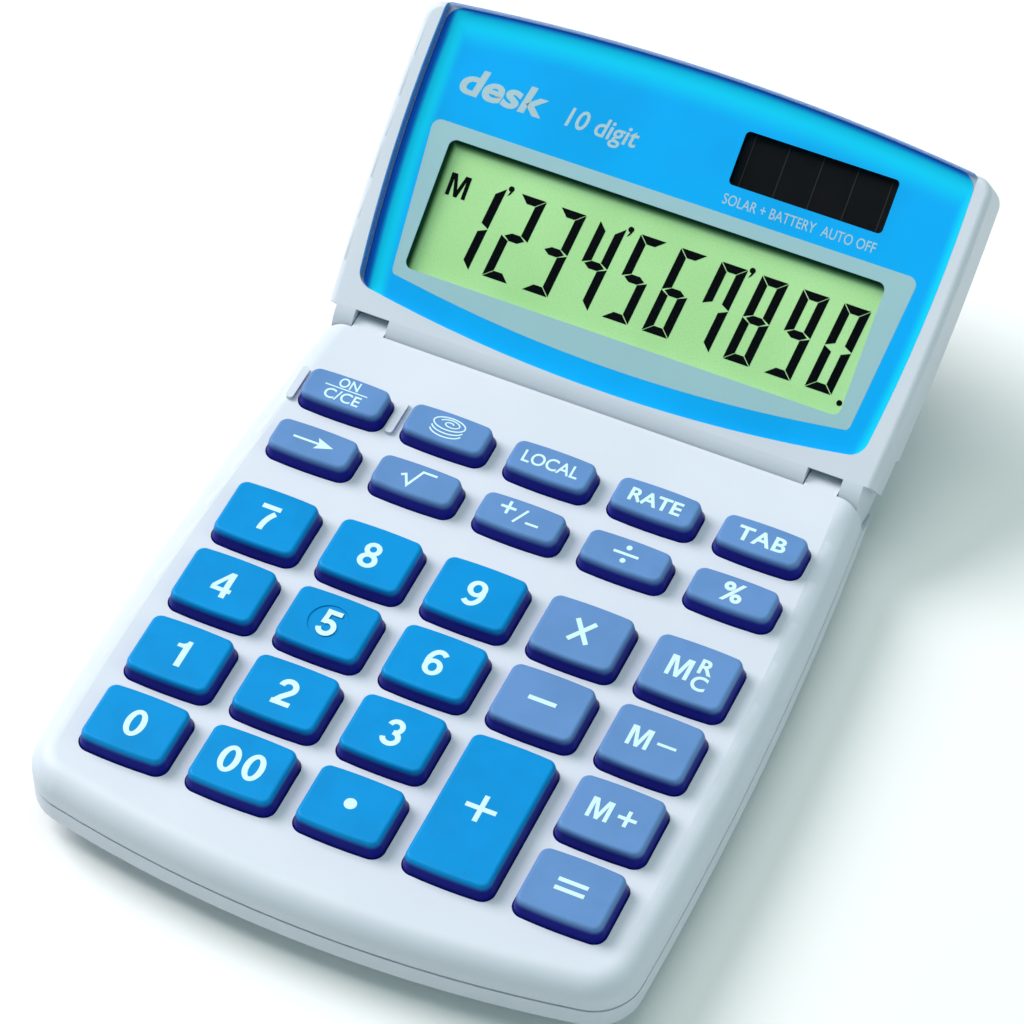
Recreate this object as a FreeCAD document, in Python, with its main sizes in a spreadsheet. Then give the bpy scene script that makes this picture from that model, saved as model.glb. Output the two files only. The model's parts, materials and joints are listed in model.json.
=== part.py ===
import FreeCAD, Part
import math
import os
import re
import Sketcher

# A desk calculator with a flip-up display. Millimetres, +Z up, keys towards -Y, display towards +Y.
# The origin is under the middle of the whole calculator, on the table, with the display raised.

Vector = FreeCAD.Vector
Constraint = Sketcher.Constraint
document = FreeCAD.newDocument("desk_calculator")

# Every size that can be set by itself. A text value is worked out from the others.
SIZES = {
    # how far a feature reaches into the one it joins
    "join": 0.2,
    # plan of the base
    "base_half": 50.6,
    "base_widest": 35.3,
    "base_side_radius": 700.0,
    "base_front_radius": 224.0,
    "base_corner": 8.0,
    "hinge_back": 110.5,
    # heights of the base
    "deck_top": 14.5,
    "deck_wall": 1.8,
    "skirt_wall": 1.8,
    "deck_round": 4.0,
    "parting_drop": 5.7,
    "skirt_drop": 7.2,
    "groove_high": 0.5,
    "groove_deep": 0.6,
    "floor_low": 1.0,
    "floor_wall": 1.6,
    "belly_inset": 3.8,
    "inner_slack": 0.4,
    "inner_corner": 1.0,
    "board_corner": 1.5,
    "mat_edge": 0.6,
    "bay_margin": 1.5,
    "screw_seat": 0.05,
    "ridge_flat": 0.05,
    "film_corner_less": 0.4,
    # hinge
    "hinge_drop": 3.0,
    "barrel_radius": 6.0,
    "barrel_bore": 3.2,
    "barrel_bore_half": 30.0,
    "trough_gap": 0.3,
    "trough_wall": 1.9,
    "ledge_over": 0.5,
    "knuckle_out": 39.6,
    "knuckle_wide": 5.6,
    "knuckle_gap": 0.2,
    "barrel_over": 3.4,
    "knuckle_radius": 3.0,
    "turning_gap": 0.3,
    "pin_radius": 1.0,
    "pin_press": 0.01,
    "pin_running": 0.05,
    "pin_long": 11.6,
    "head_tilt": 34.5,
    "head_tilt_more": 10.0,
    # head
    "head_long": 55.0,
    "head_half": 49.3,
    "head_widest": 44.5,
    "head_side_radius": 582.0,
    "head_top_radius": 402.0,
    "head_corner": 3.0,
    "head_split": -2.0,
    "head_wall": 1.7,
    "head_front_round": 1.2,
    "head_back_round": 2.5,
    "barrel_end_wall": 0.6,
    "web_wall": 1.4,
    "back_wall": 1.6,
    # lens and what is behind it
    "lens_low": 0.6,
    "lens_low_radius": 260.0,
    "lens_half": 46.4,
    "lens_widest": 40.5,
    "lens_side_radius": 273.0,
    "lens_thick": 2.0,
    "lens_proud": 0.4,
    "lens_gap": 0.1,
    "lens_corner": 3.0,
    "lens_edge_round": 0.5,
    "film_thick": 0.2,
    "film_inset": 0.3,
    "window_wide": 76.1,
    "window_high": 22.3,
    "window_up": 20.35,
    "window_corner": 1.2,
    "web_clearance": 0.5,
    "solar_wide": 26.4,
    "solar_high": 9.1,
    "solar_out": 21.25,
    "solar_up": 43.25,
    "cell_border": 1.6,
    "cell_thick": 1.1,
    "glass_wide": 80.0,
    "glass_high": 26.0,
    "glass_thick": 0.95,
    "glass_ledge": 2.6,
    "strip_deep": 1.8,
    "strip_wide": 76.0,
    "stack_gap": 0.05,
    "display_board_down": 1.2,
    "display_board_thick": 1.0,
    "display_board_half": 44.2,
    "display_board_low": 8.2,
    "display_board_high": 39.0,
    "display_screw_out": 42.3,
    "display_screw_low": 12.0,
    "display_screw_high": 46.0,
    # keys
    "key_first": 17.8,
    "key_pitch": 18.0,
    "row_pitch": 14.6,
    "row_jump": 16.63,
    "small_pitch": 11.57,
    "key_wide": 14.8,
    "key_deep": 12.2,
    "small_deep": 7.5,
    "key_bow_radius": 87.0,
    "key_corner": 2.0,
    "key_rise": 3.0,
    "key_lean": 0.6,
    "key_rim": 0.65,
    "key_wall": 1.2,
    "key_gap": 0.2,
    "flange_over": 0.55,
    "flange_thick": 0.8,
    "flange_gap": 0.1,
    "plunger_radius": 1.8,
    "plunger_low": 2.9,
    "dish_radius": 3.3,
    "dish_deep": 0.18,
    # rubber keypad and main board
    "dome_high": 1.8,
    "dome_radius": 3.3,
    "dome_lean": 28.0,
    "dome_gap": 0.05,
    "rubber_thick": 0.75,
    "board_thick": 1.2,
    "board_edge": 0.6,
    "chip_radius": 5.5,
    "chip_thick": 1.3,
    "chip_out": 19.0,
    "chip_back": 48.0,
    # fasteners
    "boss_radius": 2.0,
    "column_radius": 2.6,
    "head_column_radius": 2.4,
    "screw_radius": 1.0,
    "screw_slack": 0.02,
    "screw_clearance": 0.2,
    "screw_head_radius": 1.9,
    "screw_head_thick": 1.2,
    "screw_reach": 3.0,
    "cross_wide": 0.5,
    "cross_deep": 0.6,
    "front_board_screw": 6.9,
    "front_board_screw_out": 29.0,
    "middle_board_screw": 70.6,
    "rear_screw": 98.0,
    "front_case_screw": 7.1,
    "front_case_screw_out": 13.0,
    "rear_case_screw_out": 39.8,
    "inner_screw_out": 27.0,
    # battery
    "battery_radius": 5.8,
    "battery_thick": 3.05,
    "battery_back": 93.8,
    "battery_gap": 0.25,
    "well_wall": 1.0,
    "well_high": 2.2,
    "block_thick": 1.2,
    "door_half": 10.0,
    "door_front": 86.6,
    "door_thick": 1.35,
    "door_gap": 0.15,
    "door_play": 0.1,
    "rail_wide": 1.0,
    "rail_thick": 0.6,
    "contact_wide": 4.0,
    "contact_thick": 0.25,
    # feet, cable and guard ridges
    "foot_radius": 4.0,
    "foot_sunk": 0.6,
    "foot_out": 36.0,
    "foot_front": 13.5,
    "foot_rear": 93.0,
    "cable_wide": 14.0,
    "cable_thick": 0.3,
    "cable_gap": 0.3,
    "cable_lap": 3.0,
    "cable_way_low": 27.0,
    "cable_way_high": 27.0,
    "ridge_high": 0.7,
    "ridge_long": 7.0,
    "ridge_wide": 1.3,
    "ridge_gap": 1.4,
    "ridge_up": 0.5,
    # worked out
    "head_reach": "(head_long - head_back_round) * cos(head_tilt) + (barrel_radius - head_back_round)"
                  " * sin(head_tilt) + head_back_round",
    "front": "-(hinge_back + head_reach) / 2",
    "hinge_y": "front + hinge_back",
    "hinge_z": "deck_top - hinge_drop",
    "parting": "deck_top - parting_drop",
    "deck_under": "deck_top - deck_wall",
    "floor_high": "floor_low + floor_wall",
    "trough_radius": "barrel_radius + trough_gap",
    "rear_wall": "hinge_y - trough_radius - trough_wall",
    "ledge_back": "hinge_y + ledge_over",
    "plunger_end": "deck_top - plunger_low",
    "board_top": "plunger_end - dome_gap - dome_high - rubber_thick",
    "board_under": "board_top - board_thick",
    "belly_wall": "belly_inset + skirt_wall - belly_inset * floor_wall / (deck_top - skirt_drop - floor_low)",
    "tall_deep": "key_deep + row_pitch",
    "row_f": "front + key_first",
    "row_e": "row_f + row_pitch",
    "row_d": "row_e + row_pitch",
    "row_c": "row_d + row_pitch",
    "row_b": "row_c + row_jump",
    "row_a": "row_b + small_pitch",
    "film_back": "barrel_radius + lens_proud - lens_thick - film_thick",
    "web_back": "film_back - web_wall",
    "glass_front": "web_back - stack_gap",
    "glass_back": "glass_front - glass_thick",
    "head_floor": "-barrel_radius + back_wall",
    "door_top": "floor_low + door_thick",
}

# Keys by row from the back of the deck to the front, left to right.
KEY_ROWS = {
    "row_a": ["on_clear", "currency", "local", "rate", "tab"],
    "row_b": ["arrow", "root", "sign", "divide", "percent"],
    "row_c": ["7", "8", "9", "times", "memory_recall"],
    "row_d": ["4", "5", "6", "minus", "memory_minus"],
    "row_e": ["1", "2", "3", "plus", "memory_plus"],
    "row_f": ["0", "00", "point", None, "equals"],
}
SMALL_ROWS = ("row_a", "row_b")
CABLE_START = "rear_wall - board_edge - cable_lap"
HEAD_CABLE_LEVEL = "-display_board_down - display_board_thick - cable_thick"

sheet = document.addObject("Spreadsheet::Sheet", "Sizes")


def cells(text):
    """The text with each size's name written as a reference to its cell."""
    return re.sub(r"[a-z_]+\w*", lambda m: "Sizes." + m[0] if m[0] in SIZES else m[0], text)


def fill_sheet():
    for number, (name, size) in enumerate(SIZES.items(), 1):
        sheet.set(f"A{number}", name)
        sheet.set(f"B{number}", f"={size}" if isinstance(size, str) else str(size))
        sheet.setAlias(f"B{number}", name)
    document.recompute()


def value(text):
    """What a sum of sizes comes to."""
    return float(sheet.evalExpression(cells(text)))


def bind(thing, **sums):
    """Tie properties to sums of sizes. Two underscores in a name stand for a dot."""
    for name, text in sums.items():
        thing.setExpression(name.replace("__", "."), cells(text))


def new_body(label):
    body = document.addObject("PartDesign::Body", label)
    body.Label = label
    return body


def new_sketch(body, plane, at):
    sketch = body.newObject("Sketcher::SketchObject", f"{body.Label}_sketch")
    face = next(f for f in body.Origin.OriginFeatures if f.Role == plane)
    sketch.AttachmentSupport = [(face, "")]
    sketch.MapMode = "FlatFace"
    bind(sketch, AttachmentOffset__Base__x=at[0], AttachmentOffset__Base__y=at[1],
         AttachmentOffset__Base__z=at[2])
    return sketch


def constrain(sketch, size, *facts):
    """Add a constraint whose value follows a sum of sizes."""
    index = sketch.addConstraint(Constraint(*facts, value(size)))
    sketch.setExpression(f"Constraints[{index}]", cells(size))


# Outlines. An outline has four edges, front, right, rear and left, each straight or a shallow arc,
# and a radius at each corner. An arc is (x, y, radius) of its circle, a straight edge (axis, place, side).


def edge(kind, place, radius, grow, widest="0"):
    """An edge that bows outwards with a radius, or is straight without one, moved out by grow."""
    sign = "-" if kind in ("front", "left") else ""
    if radius is None:
        return ("y" if kind in ("front", "rear") else "x", f"{sign}({place}) {sign or '+'} ({grow})", sign)
    middle = f"{sign}(({place}) - ({radius}))"
    reach = f"{radius} + ({grow})"
    return (("0", middle, reach) if kind in ("front", "rear") else (middle, widest, reach))


def outline(front, rear, side, grow="0"):
    """Edges from the front's and rear's (distance from the origin, radius) and the sides' too.

    Distances are outwards: front is how far it lies towards -Y. The sides may name where they are widest.
    """
    half, radius, widest = (*side, "0")[:3]
    return [edge("front", *front, grow), edge("right", half, radius, grow, widest),
            edge("rear", *rear, grow), edge("left", half, radius, grow, widest)]


def is_line(one_edge):
    return one_edge[0] in ("x", "y")


def inside(numbers, point):
    """How far inside an edge a point lies."""
    if is_line(numbers):
        axis, place, sign = numbers
        coordinate = point.x if axis == "x" else point.y
        return (place - coordinate) * (-1 if sign else 1)
    return numbers[2] - (point - Vector(numbers[0], numbers[1], 0)).Length


def nearest(numbers, point):
    """The point of an edge nearest to a point."""
    if is_line(numbers):
        return Vector(numbers[1], point.y, 0) if numbers[0] == "x" else Vector(point.x, numbers[1], 0)
    middle = Vector(numbers[0], numbers[1], 0)
    return middle + (point - middle).normalize() * numbers[2]


def corner_centre(first, second, radius, start):
    """The point that lies one radius inside both edges, by Newton's method."""
    point, step = start, 1e-6
    for _ in range(30):
        here = [inside(e, point) - radius for e in (first, second)]
        slope = [[(inside(e, point + way * step) - radius - h) / step for way in (Vector(1, 0), Vector(0, 1))]
                 for e, h in zip((first, second), here)]
        scale = slope[0][0] * slope[1][1] - slope[0][1] * slope[1][0]
        point = point - Vector((here[0] * slope[1][1] - here[1] * slope[0][1]) / scale,
                               (here[1] * slope[0][0] - here[0] * slope[1][0]) / scale)
    return point


def arc_of(x, y, radius, start, end):
    """The anticlockwise arc of a circle between two points."""
    angles = [math.atan2(p.y - y, p.x - x) for p in (start, end)]
    if angles[1] < angles[0]:
        angles[1] += 2 * math.pi
    return Part.ArcOfCircle(Part.Circle(Vector(x, y, 0), Vector(0, 0, 1), radius), *angles)


def draw_outline(body, edges, corners, at=("0", "0", "0"), plane="XY_Plane"):
    """A closed sketch of an outline. Corners are the radii front right, rear right, rear left, front left."""
    sketch = new_sketch(body, plane, at)
    numbers = [(e[0], value(e[1]), e[2]) if is_line(e) else tuple(value(text) for text in e) for e in edges]
    radii = [value(text) for text in corners]
    middle = Vector(0, sum(nearest(n, Vector(0, 0, 0)).y if not is_line(n) else n[1]
                           for n in (numbers[0], numbers[2])) / 2, 0)
    centres = [corner_centre(numbers[i], numbers[(i + 1) % 4], radii[i], middle) for i in range(4)]
    main, round_corners = [], {}
    for i, numbers_here in enumerate(numbers):
        start = nearest(numbers_here, centres[i - 1])
        end = nearest(numbers_here, centres[i])
        shape = Part.LineSegment(start, end) if is_line(numbers_here) else arc_of(*numbers_here, start, end)
        main.append(sketch.addGeometry(shape))
        if radii[i] > 0:
            after = nearest(numbers[(i + 1) % 4], centres[i])
            corner = arc_of(centres[i].x, centres[i].y, radii[i], end, after)
            round_corners[i] = sketch.addGeometry(corner)
    for i, index in enumerate(main):
        following = main[(i + 1) % 4]
        if i in round_corners:
            sketch.addConstraint(Constraint("Tangent", index, 2, round_corners[i], 1))
            sketch.addConstraint(Constraint("Tangent", round_corners[i], 2, following, 1))
            constrain(sketch, corners[i], "Radius", round_corners[i])
        else:
            sketch.addConstraint(Constraint("Coincident", index, 2, following, 1))
    for index, one_edge in zip(main, edges):
        if is_line(one_edge):
            sketch.addConstraint(Constraint("Vertical" if one_edge[0] == "x" else "Horizontal", index))
            constrain(sketch, one_edge[1], "DistanceX" if one_edge[0] == "x" else "DistanceY", index, 1)
        else:
            constrain(sketch, one_edge[2], "Radius", index)
            constrain(sketch, one_edge[0], "DistanceX", index, 3)
            constrain(sketch, one_edge[1], "DistanceY", index, 3)
    return sketch


def draw_box(body, left, right, low, high, at=("0", "0", "0"), plane="XY_Plane"):
    """A rectangle from its four places."""
    edges = [("y", low, "-"), ("x", right, ""), ("y", high, ""), ("x", left, "-")]
    return draw_outline(body, edges, ["0"] * 4, at, plane)


def draw_circles(body, centres, radius, at=("0", "0", "0"), plane="XY_Plane"):
    sketch = new_sketch(body, plane, at)
    for x, y in centres:
        circle = Part.Circle(Vector(value(x), value(y), 0), Vector(0, 0, 1), value(radius))
        index = sketch.addGeometry(circle)
        constrain(sketch, radius, "Radius", index)
        constrain(sketch, x, "DistanceX", index, 3)
        constrain(sketch, y, "DistanceY", index, 3)
    return sketch


def draw_triangle(body, points, plane):
    sketch = new_sketch(body, plane, ("0", "0", "0"))
    places = [Vector(value(x), value(y), 0) for x, y in points]
    for i in range(3):
        sketch.addGeometry(Part.LineSegment(places[i], places[(i + 1) % 3]))
    for i, (x, y) in enumerate(points):
        sketch.addConstraint(Constraint("Coincident", i, 2, (i + 1) % 3, 1))
        constrain(sketch, x, "DistanceX", i, 1)
        constrain(sketch, y, "DistanceY", i, 1)
    return sketch


# Features.


def finish_feature(body, feature, grows):
    """Recompute, and make sure that the feature added or cut something."""
    before = body.Tip.Shape.Volume if body.Tip and body.Tip is not feature else 0
    document.recompute()
    body.Tip = feature
    change = feature.Shape.Volume - before
    if (change <= 0) == grows and before:
        raise RuntimeError(f"{feature.Label} in {body.Label} changed the volume by {change:.3f}")
    return feature


def pad(body, sketch, length, down=False, across=False, lean=None):
    """Push a sketch out along its plane's normal, against it, or to both sides."""
    previous = body.Tip
    feature = body.newObject("PartDesign::Pad", "pad")
    body.Tip = previous or feature
    feature.Profile = sketch
    feature.Reversed = down
    feature.Midplane = across
    bind(feature, Length=length)
    if lean:
        bind(feature, TaperAngle=lean)
    return finish_feature(body, feature, True)


def pocket(body, sketch, length, up=False, across=False):
    """Cut against the plane's normal, along it, or to both sides."""
    previous = body.Tip
    feature = body.newObject("PartDesign::Pocket", "pocket")
    body.Tip = previous
    feature.Profile = sketch
    feature.Reversed = up
    feature.Midplane = across
    bind(feature, Length=length)
    return finish_feature(body, feature, False)


def chosen_edges(shape, wanted):
    return [f"Edge{number}" for number, one_edge in enumerate(shape.Edges, 1) if wanted(one_edge.BoundBox)]


def round_edges(body, radius, wanted):
    base = body.Tip
    feature = body.newObject("PartDesign::Fillet", "rounding")
    feature.Base = (base, chosen_edges(base.Shape, wanted))
    bind(feature, Radius=radius)
    document.recompute()
    return feature


def bevel_edges(body, across, up, wanted, flip=False):
    base = body.Tip
    feature = body.newObject("PartDesign::Chamfer", "bevel")
    feature.Base = (base, chosen_edges(base.Shape, wanted))
    feature.ChamferType = "Two distances"
    feature.FlipDirection = flip
    bind(feature, Size=across, Size2=up)
    document.recompute()
    return feature


def flat_at(height):
    """Picks the edges that lie at one height."""
    return lambda box: abs(box.ZMin - height) < 1e-4 and abs(box.ZMax - height) < 1e-4


def place_on_head(body):
    """Stand a piece that is drawn with the display folded flat on the raised head."""
    body.Placement = FreeCAD.Placement(Vector(0, 0, 0), FreeCAD.Rotation(Vector(1, 0, 0), 30))
    bind(body, Placement__Base__y="hinge_y", Placement__Base__z="hinge_z",
         Placement__Rotation__Angle="head_tilt")


# Outlines of the base, the head, the lens and the keys, in the frame that each is drawn in.


def base_outline(rear, grow="0"):
    """The base in plan. Its rear is straight, at its own place, whatever the rest grows by."""
    edges = outline(("-front", "base_front_radius"), ("0", None),
                    ("base_half", "base_side_radius", "front + base_widest"), grow)
    edges[2] = ("y", rear, "")
    return edges


def head_outline(low, grow="0"):
    """The display housing, from a straight lower edge to its bowed top."""
    edges = outline(("0", None), ("head_long", "head_top_radius"),
                    ("head_half", "head_side_radius", "head_widest"), grow)
    edges[0] = ("y", low, "-")
    return edges


def lens_outline(grow="0"):
    return outline(("-lens_low", "lens_low_radius"), ("head_long", "head_top_radius"),
                   ("lens_half", "lens_side_radius", "lens_widest"), grow)


def key_outline(deep, grow_wide="0", grow_deep="0"):
    front = (f"({deep}) / 2 + {grow_deep}", "key_bow_radius")
    return outline(front, front, (f"key_wide / 2 + {grow_wide}", None))


def rectangle(wide, high, grow="0"):
    return outline((f"({high}) / 2", None), (f"({high}) / 2", None), (f"({wide}) / 2", None), grow)


def four(radius):
    return [radius] * 4


def mirrored(*places):
    """Each (out, along) place on the left and on the right."""
    return [(f"{sign}({out})", along) for out, along in places for sign in ("-", "")]


def key_places():
    """(name, column's x, row's y, depth's size name) of every key."""
    places = []
    for row, names in KEY_ROWS.items():
        for column, name in enumerate(names, -2):
            if name == "plus":
                places.append((name, f"{column} * key_pitch", f"{row} - row_pitch / 2", "tall_deep"))
            elif name:
                deep = "small_deep" if row in SMALL_ROWS else "key_deep"
                places.append((name, f"{column} * key_pitch", row, deep))
    return places


def board_screw_places():
    return mirrored(("front_board_screw_out", "front + front_board_screw"),
                    ("inner_screw_out", "front + middle_board_screw"),
                    ("inner_screw_out", "front + rear_screw"))


def case_screw_places():
    return mirrored(("front_case_screw_out", "front + front_case_screw"),
                    ("rear_case_screw_out", "front + rear_screw"))


def display_screw_places():
    return mirrored(("display_screw_out", "display_screw_low"), ("display_screw_out", "display_screw_high"))


def foot_places():
    return mirrored(("foot_out", "front + foot_front"), ("foot_out", "front + foot_rear"))


# The base.


def cut_trough(body):
    """The hollow that the head's barrel turns in, across the whole width."""
    sketch = draw_circles(body, [("hinge_y", "hinge_z")], "trough_radius", plane="YZ_Plane")
    pocket(body, sketch, "2 * base_half + 10", across=True)


def add_knuckles(body):
    """Two tongues level with the deck, rounded about the hinge axis, with a bore for each pin."""
    for side in ("-", ""):
        at = ("0", "0", f"{side}knuckle_out")
        tongue = draw_box(body, "rear_wall", "hinge_y", "parting", "deck_top", at, "YZ_Plane")
        pad(body, tongue, "knuckle_wide", across=True)
        knuckle = draw_circles(body, [("hinge_y", "hinge_z")], "knuckle_radius", at, "YZ_Plane")
        pad(body, knuckle, "knuckle_wide", across=True)
    bore = draw_circles(body, [("hinge_y", "hinge_z")], "pin_radius + pin_press", plane="YZ_Plane")
    pocket(body, bore, "2 * (knuckle_out + knuckle_wide)", across=True)


def make_upper_case():
    body = new_body("upper_case")
    corners = ["base_corner", "0", "0", "base_corner"]
    shell = draw_outline(body, base_outline("hinge_y"), corners, ("0", "0", "parting"))
    pad(body, shell, "parting_drop")
    top, rear = value("deck_top"), value("hinge_y")
    round_edges(body, "deck_round", lambda box: flat_at(top)(box) and box.YMin < rear - 1)
    corners = ["base_corner - skirt_wall", "inner_corner", "inner_corner", "base_corner - skirt_wall"]
    hollow = draw_outline(body, base_outline("rear_wall", "-skirt_wall"), corners, ("0", "0", "parting"))
    pocket(body, hollow, "parting_drop - deck_wall", up=True)
    cut_trough(body)
    add_knuckles(body)
    cable_way = draw_box(body, "-cable_wide / 2 - cable_gap", "cable_wide / 2 + cable_gap", "rear_wall - 1",
                         "hinge_y", ("0", "0", "parting"))
    pocket(body, cable_way, "board_top + cable_thick + cable_gap - parting", up=True)
    for _, x, y, deep in key_places():
        hole = draw_outline(body, key_outline(deep, "key_gap", "key_gap"), four("key_corner + key_gap"),
                            (x, y, "deck_top"))
        pocket(body, hole, "deck_wall + 0.5")
    posts = draw_circles(body, board_screw_places(), "boss_radius", ("0", "0", "board_top"))
    pad(body, posts, "deck_under - board_top + join")
    posts = draw_circles(body, case_screw_places(), "column_radius", ("0", "0", "parting"))
    pad(body, posts, "deck_under - parting + join")
    threads = draw_circles(body, board_screw_places(), "screw_radius + screw_slack", ("0", "0", "board_top"))
    pocket(body, threads, "screw_reach + 0.3", up=True)
    threads = draw_circles(body, case_screw_places(), "screw_radius + screw_slack", ("0", "0", "parting"))
    pocket(body, threads, "deck_under - parting + 0.5", up=True)
    for side in ("-", "+"):
        at = (f"-2 * key_pitch {side} (key_wide / 2 + ridge_gap)", "row_a + ridge_up", "deck_top - join")
        ridge = draw_outline(body, rectangle("ridge_wide", "ridge_long"),
                             four("ridge_wide / 2 - ridge_flat"), at)
        pad(body, ridge, "ridge_high + join")
    return body


def make_lower_case():
    body = new_body("lower_case")
    corners = ["base_corner", "0", "0", "base_corner"]
    shell = draw_outline(body, base_outline("ledge_back"), corners, ("0", "0", "floor_low"))
    pad(body, shell, "parting - groove_high - floor_low")
    low, rear = value("floor_low"), value("ledge_back")
    bevel_edges(body, "belly_inset", "deck_top - skirt_drop - floor_low",
                lambda box: flat_at(low)(box) and box.YMin < rear - 1)
    corners = ["base_corner - groove_deep", "0", "0", "base_corner - groove_deep"]
    lip = draw_outline(body, base_outline("hinge_y", "-groove_deep"), corners,
                       ("0", "0", "parting - groove_high - join"))
    pad(body, lip, "groove_high + join")
    corners = ["base_corner - belly_wall", "inner_corner", "inner_corner", "base_corner - belly_wall"]
    hollow = draw_outline(body, base_outline("rear_wall", "-belly_wall"), corners, ("0", "0", "floor_high"))
    pocket(body, hollow, "parting - floor_high", up=True)
    corners = ["base_corner - skirt_wall", "inner_corner", "inner_corner", "base_corner - skirt_wall"]
    hollow = draw_outline(body, base_outline("rear_wall", "-skirt_wall"), corners,
                          ("0", "0", "deck_top - skirt_drop"))
    pocket(body, hollow, "skirt_drop", up=True)
    cut_trough(body)
    columns = draw_circles(body, case_screw_places(), "column_radius", ("0", "0", "floor_high - join"))
    pad(body, columns, "parting - stack_gap - floor_high + join")
    holes = draw_circles(body, case_screw_places(), "screw_radius + screw_clearance", ("0", "0", "floor_low"))
    pocket(body, holes, "parting", up=True)
    heads = draw_circles(body, case_screw_places(), "screw_head_radius + screw_clearance",
                         ("0", "0", "floor_low"))
    pocket(body, heads, "screw_head_thick + 0.1", up=True)
    add_battery_bay(body)
    reliefs = draw_circles(body, board_screw_places()[:2], "screw_head_radius + inner_slack",
                           ("0", "0", "board_under - screw_head_thick - inner_slack"))
    pocket(body, reliefs, "screw_head_thick + board_thick + 1", up=True)
    feet = draw_circles(body, foot_places(), "foot_radius + door_play", ("0", "0", "floor_low"))
    pocket(body, feet, "foot_sunk", up=True)
    slot = draw_box(body, "-cable_wide / 2 - cable_gap", "cable_wide / 2 + cable_gap", "rear_wall - 1",
                    "hinge_y", ("0", "0", "board_top - 0.1"))
    pocket(body, slot, "parting", up=True)
    return body


def add_battery_bay(body):
    """The well for the cell, over a channel that the door slides out of to the rear."""
    bay_half = "door_half + rail_wide + door_gap + bay_margin"
    block = draw_box(body, f"-({bay_half})", bay_half, "front + door_front - bay_margin", "rear_wall + 1",
                     ("0", "0", "floor_high - join"))
    pad(body, block, "block_thick + join")
    centre = [("0", "front + battery_back")]
    ring = draw_circles(body, centre, "battery_radius + battery_gap + well_wall",
                        ("0", "0", "floor_high"))
    pad(body, ring, "block_thick + well_high")
    well = draw_circles(body, centre, "battery_radius + battery_gap", ("0", "0", "floor_low"))
    pocket(body, well, "parting - floor_low", up=True)
    channel = draw_box(body, "-door_half - door_gap", "door_half + door_gap",
                       "front + door_front - door_gap", "ledge_back + 1", ("0", "0", "floor_low"))
    pocket(body, channel, "door_thick + door_play", up=True)
    rails = draw_box(body, "-door_half - rail_wide - door_gap", "door_half + rail_wide + door_gap",
                     "front + door_front - door_gap", "ledge_back + 1",
                     ("0", "0", "door_top - rail_thick - door_play"))
    pocket(body, rails, "rail_thick + 2 * door_play", up=True)


def make_battery_door():
    body = new_body("battery_door")
    plate = draw_box(body, "-door_half", "door_half", "front + door_front", "ledge_back",
                     ("0", "0", "floor_low"))
    pad(body, plate, "door_thick")
    rails = draw_box(body, "-door_half - rail_wide", "door_half + rail_wide", "front + door_front",
                     "ledge_back", ("0", "0", "door_top - rail_thick"))
    pad(body, rails, "rail_thick")
    for number in range(4):
        grip = draw_box(body, "-door_half / 2", "door_half / 2", "0", "0.7",
                        ("0", f"front + door_front + 12 + {number} * 1.6", "floor_low"))
        pocket(body, grip, "0.3", up=True)
    return body


def make_battery_cell():
    """A button cell: a can with a smaller raised cap."""
    body = new_body("battery_cell")
    centre = [("0", "front + battery_back")]
    can = draw_circles(body, centre, "battery_radius", ("0", "0", "door_top + door_play"))
    pad(body, can, "battery_thick * 0.8")
    cap = draw_circles(body, centre, "battery_radius * 0.85", ("0", "0", "door_top + door_play"))
    pad(body, cap, "battery_thick")
    return body


def make_contacts():
    """Spring strips from the main board: one down to the cell's cap, one down beside its can."""
    cap = new_body("battery_contact_minus")
    top = "door_top + door_play + battery_thick"
    foot = draw_box(cap, "-contact_wide / 2", "contact_wide / 2", "front + battery_back - 8",
                    "front + battery_back - 5", ("0", "0", "board_under - contact_thick"))
    pad(cap, foot, "contact_thick")
    leg = draw_box(cap, "-contact_wide / 2", "contact_wide / 2", "front + battery_back - 5 - contact_thick",
                   "front + battery_back - 5", ("0", "0", f"{top}"))
    pad(cap, leg, f"board_under - ({top})")
    tongue = draw_box(cap, "-contact_wide / 2", "contact_wide / 2", "front + battery_back - 5",
                      "front + battery_back + 1", ("0", "0", f"{top}"))
    pad(cap, tongue, "contact_thick")
    side = new_body("battery_contact_plus")
    near = "battery_radius + 0.05"
    foot = draw_box(side, near, f"{near} + 3", "front + battery_back - contact_wide / 2",
                    "front + battery_back + contact_wide / 2", ("0", "0", "board_under - contact_thick"))
    pad(side, foot, "contact_thick")
    leg = draw_box(side, near, f"{near} + 0.15", "front + battery_back - 0.8",
                   "front + battery_back + 0.8", ("0", "0", "door_top + door_play + 1"))
    pad(side, leg, "board_under - door_top - door_play - 1")
    return [cap, side]


def make_main_board():
    body = new_body("main_board")
    grow = "-belly_wall - board_edge"
    plate = draw_outline(body, base_outline("rear_wall - board_edge", grow), four("board_corner"),
                         ("0", "0", "board_under"))
    pad(body, plate, "board_thick")
    holes = draw_circles(body, board_screw_places(), "screw_radius + screw_clearance",
                         ("0", "0", "board_under"))
    pocket(body, holes, "board_thick", up=True)
    gaps = draw_circles(body, case_screw_places(), "column_radius + inner_slack", ("0", "0", "board_under"))
    pocket(body, gaps, "board_thick", up=True)
    return body


def make_board_chip():
    """The controller under its blob of epoxy, on the underside of the main board."""
    body = new_body("board_chip")
    blob = draw_circles(body, [("-chip_out", "front + chip_back")], "chip_radius",
                        ("0", "0", "board_under - chip_thick"))
    pad(body, blob, "chip_thick")
    low = value("board_under - chip_thick")
    round_edges(body, "chip_thick * 0.6", flat_at(low))
    return body


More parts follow.
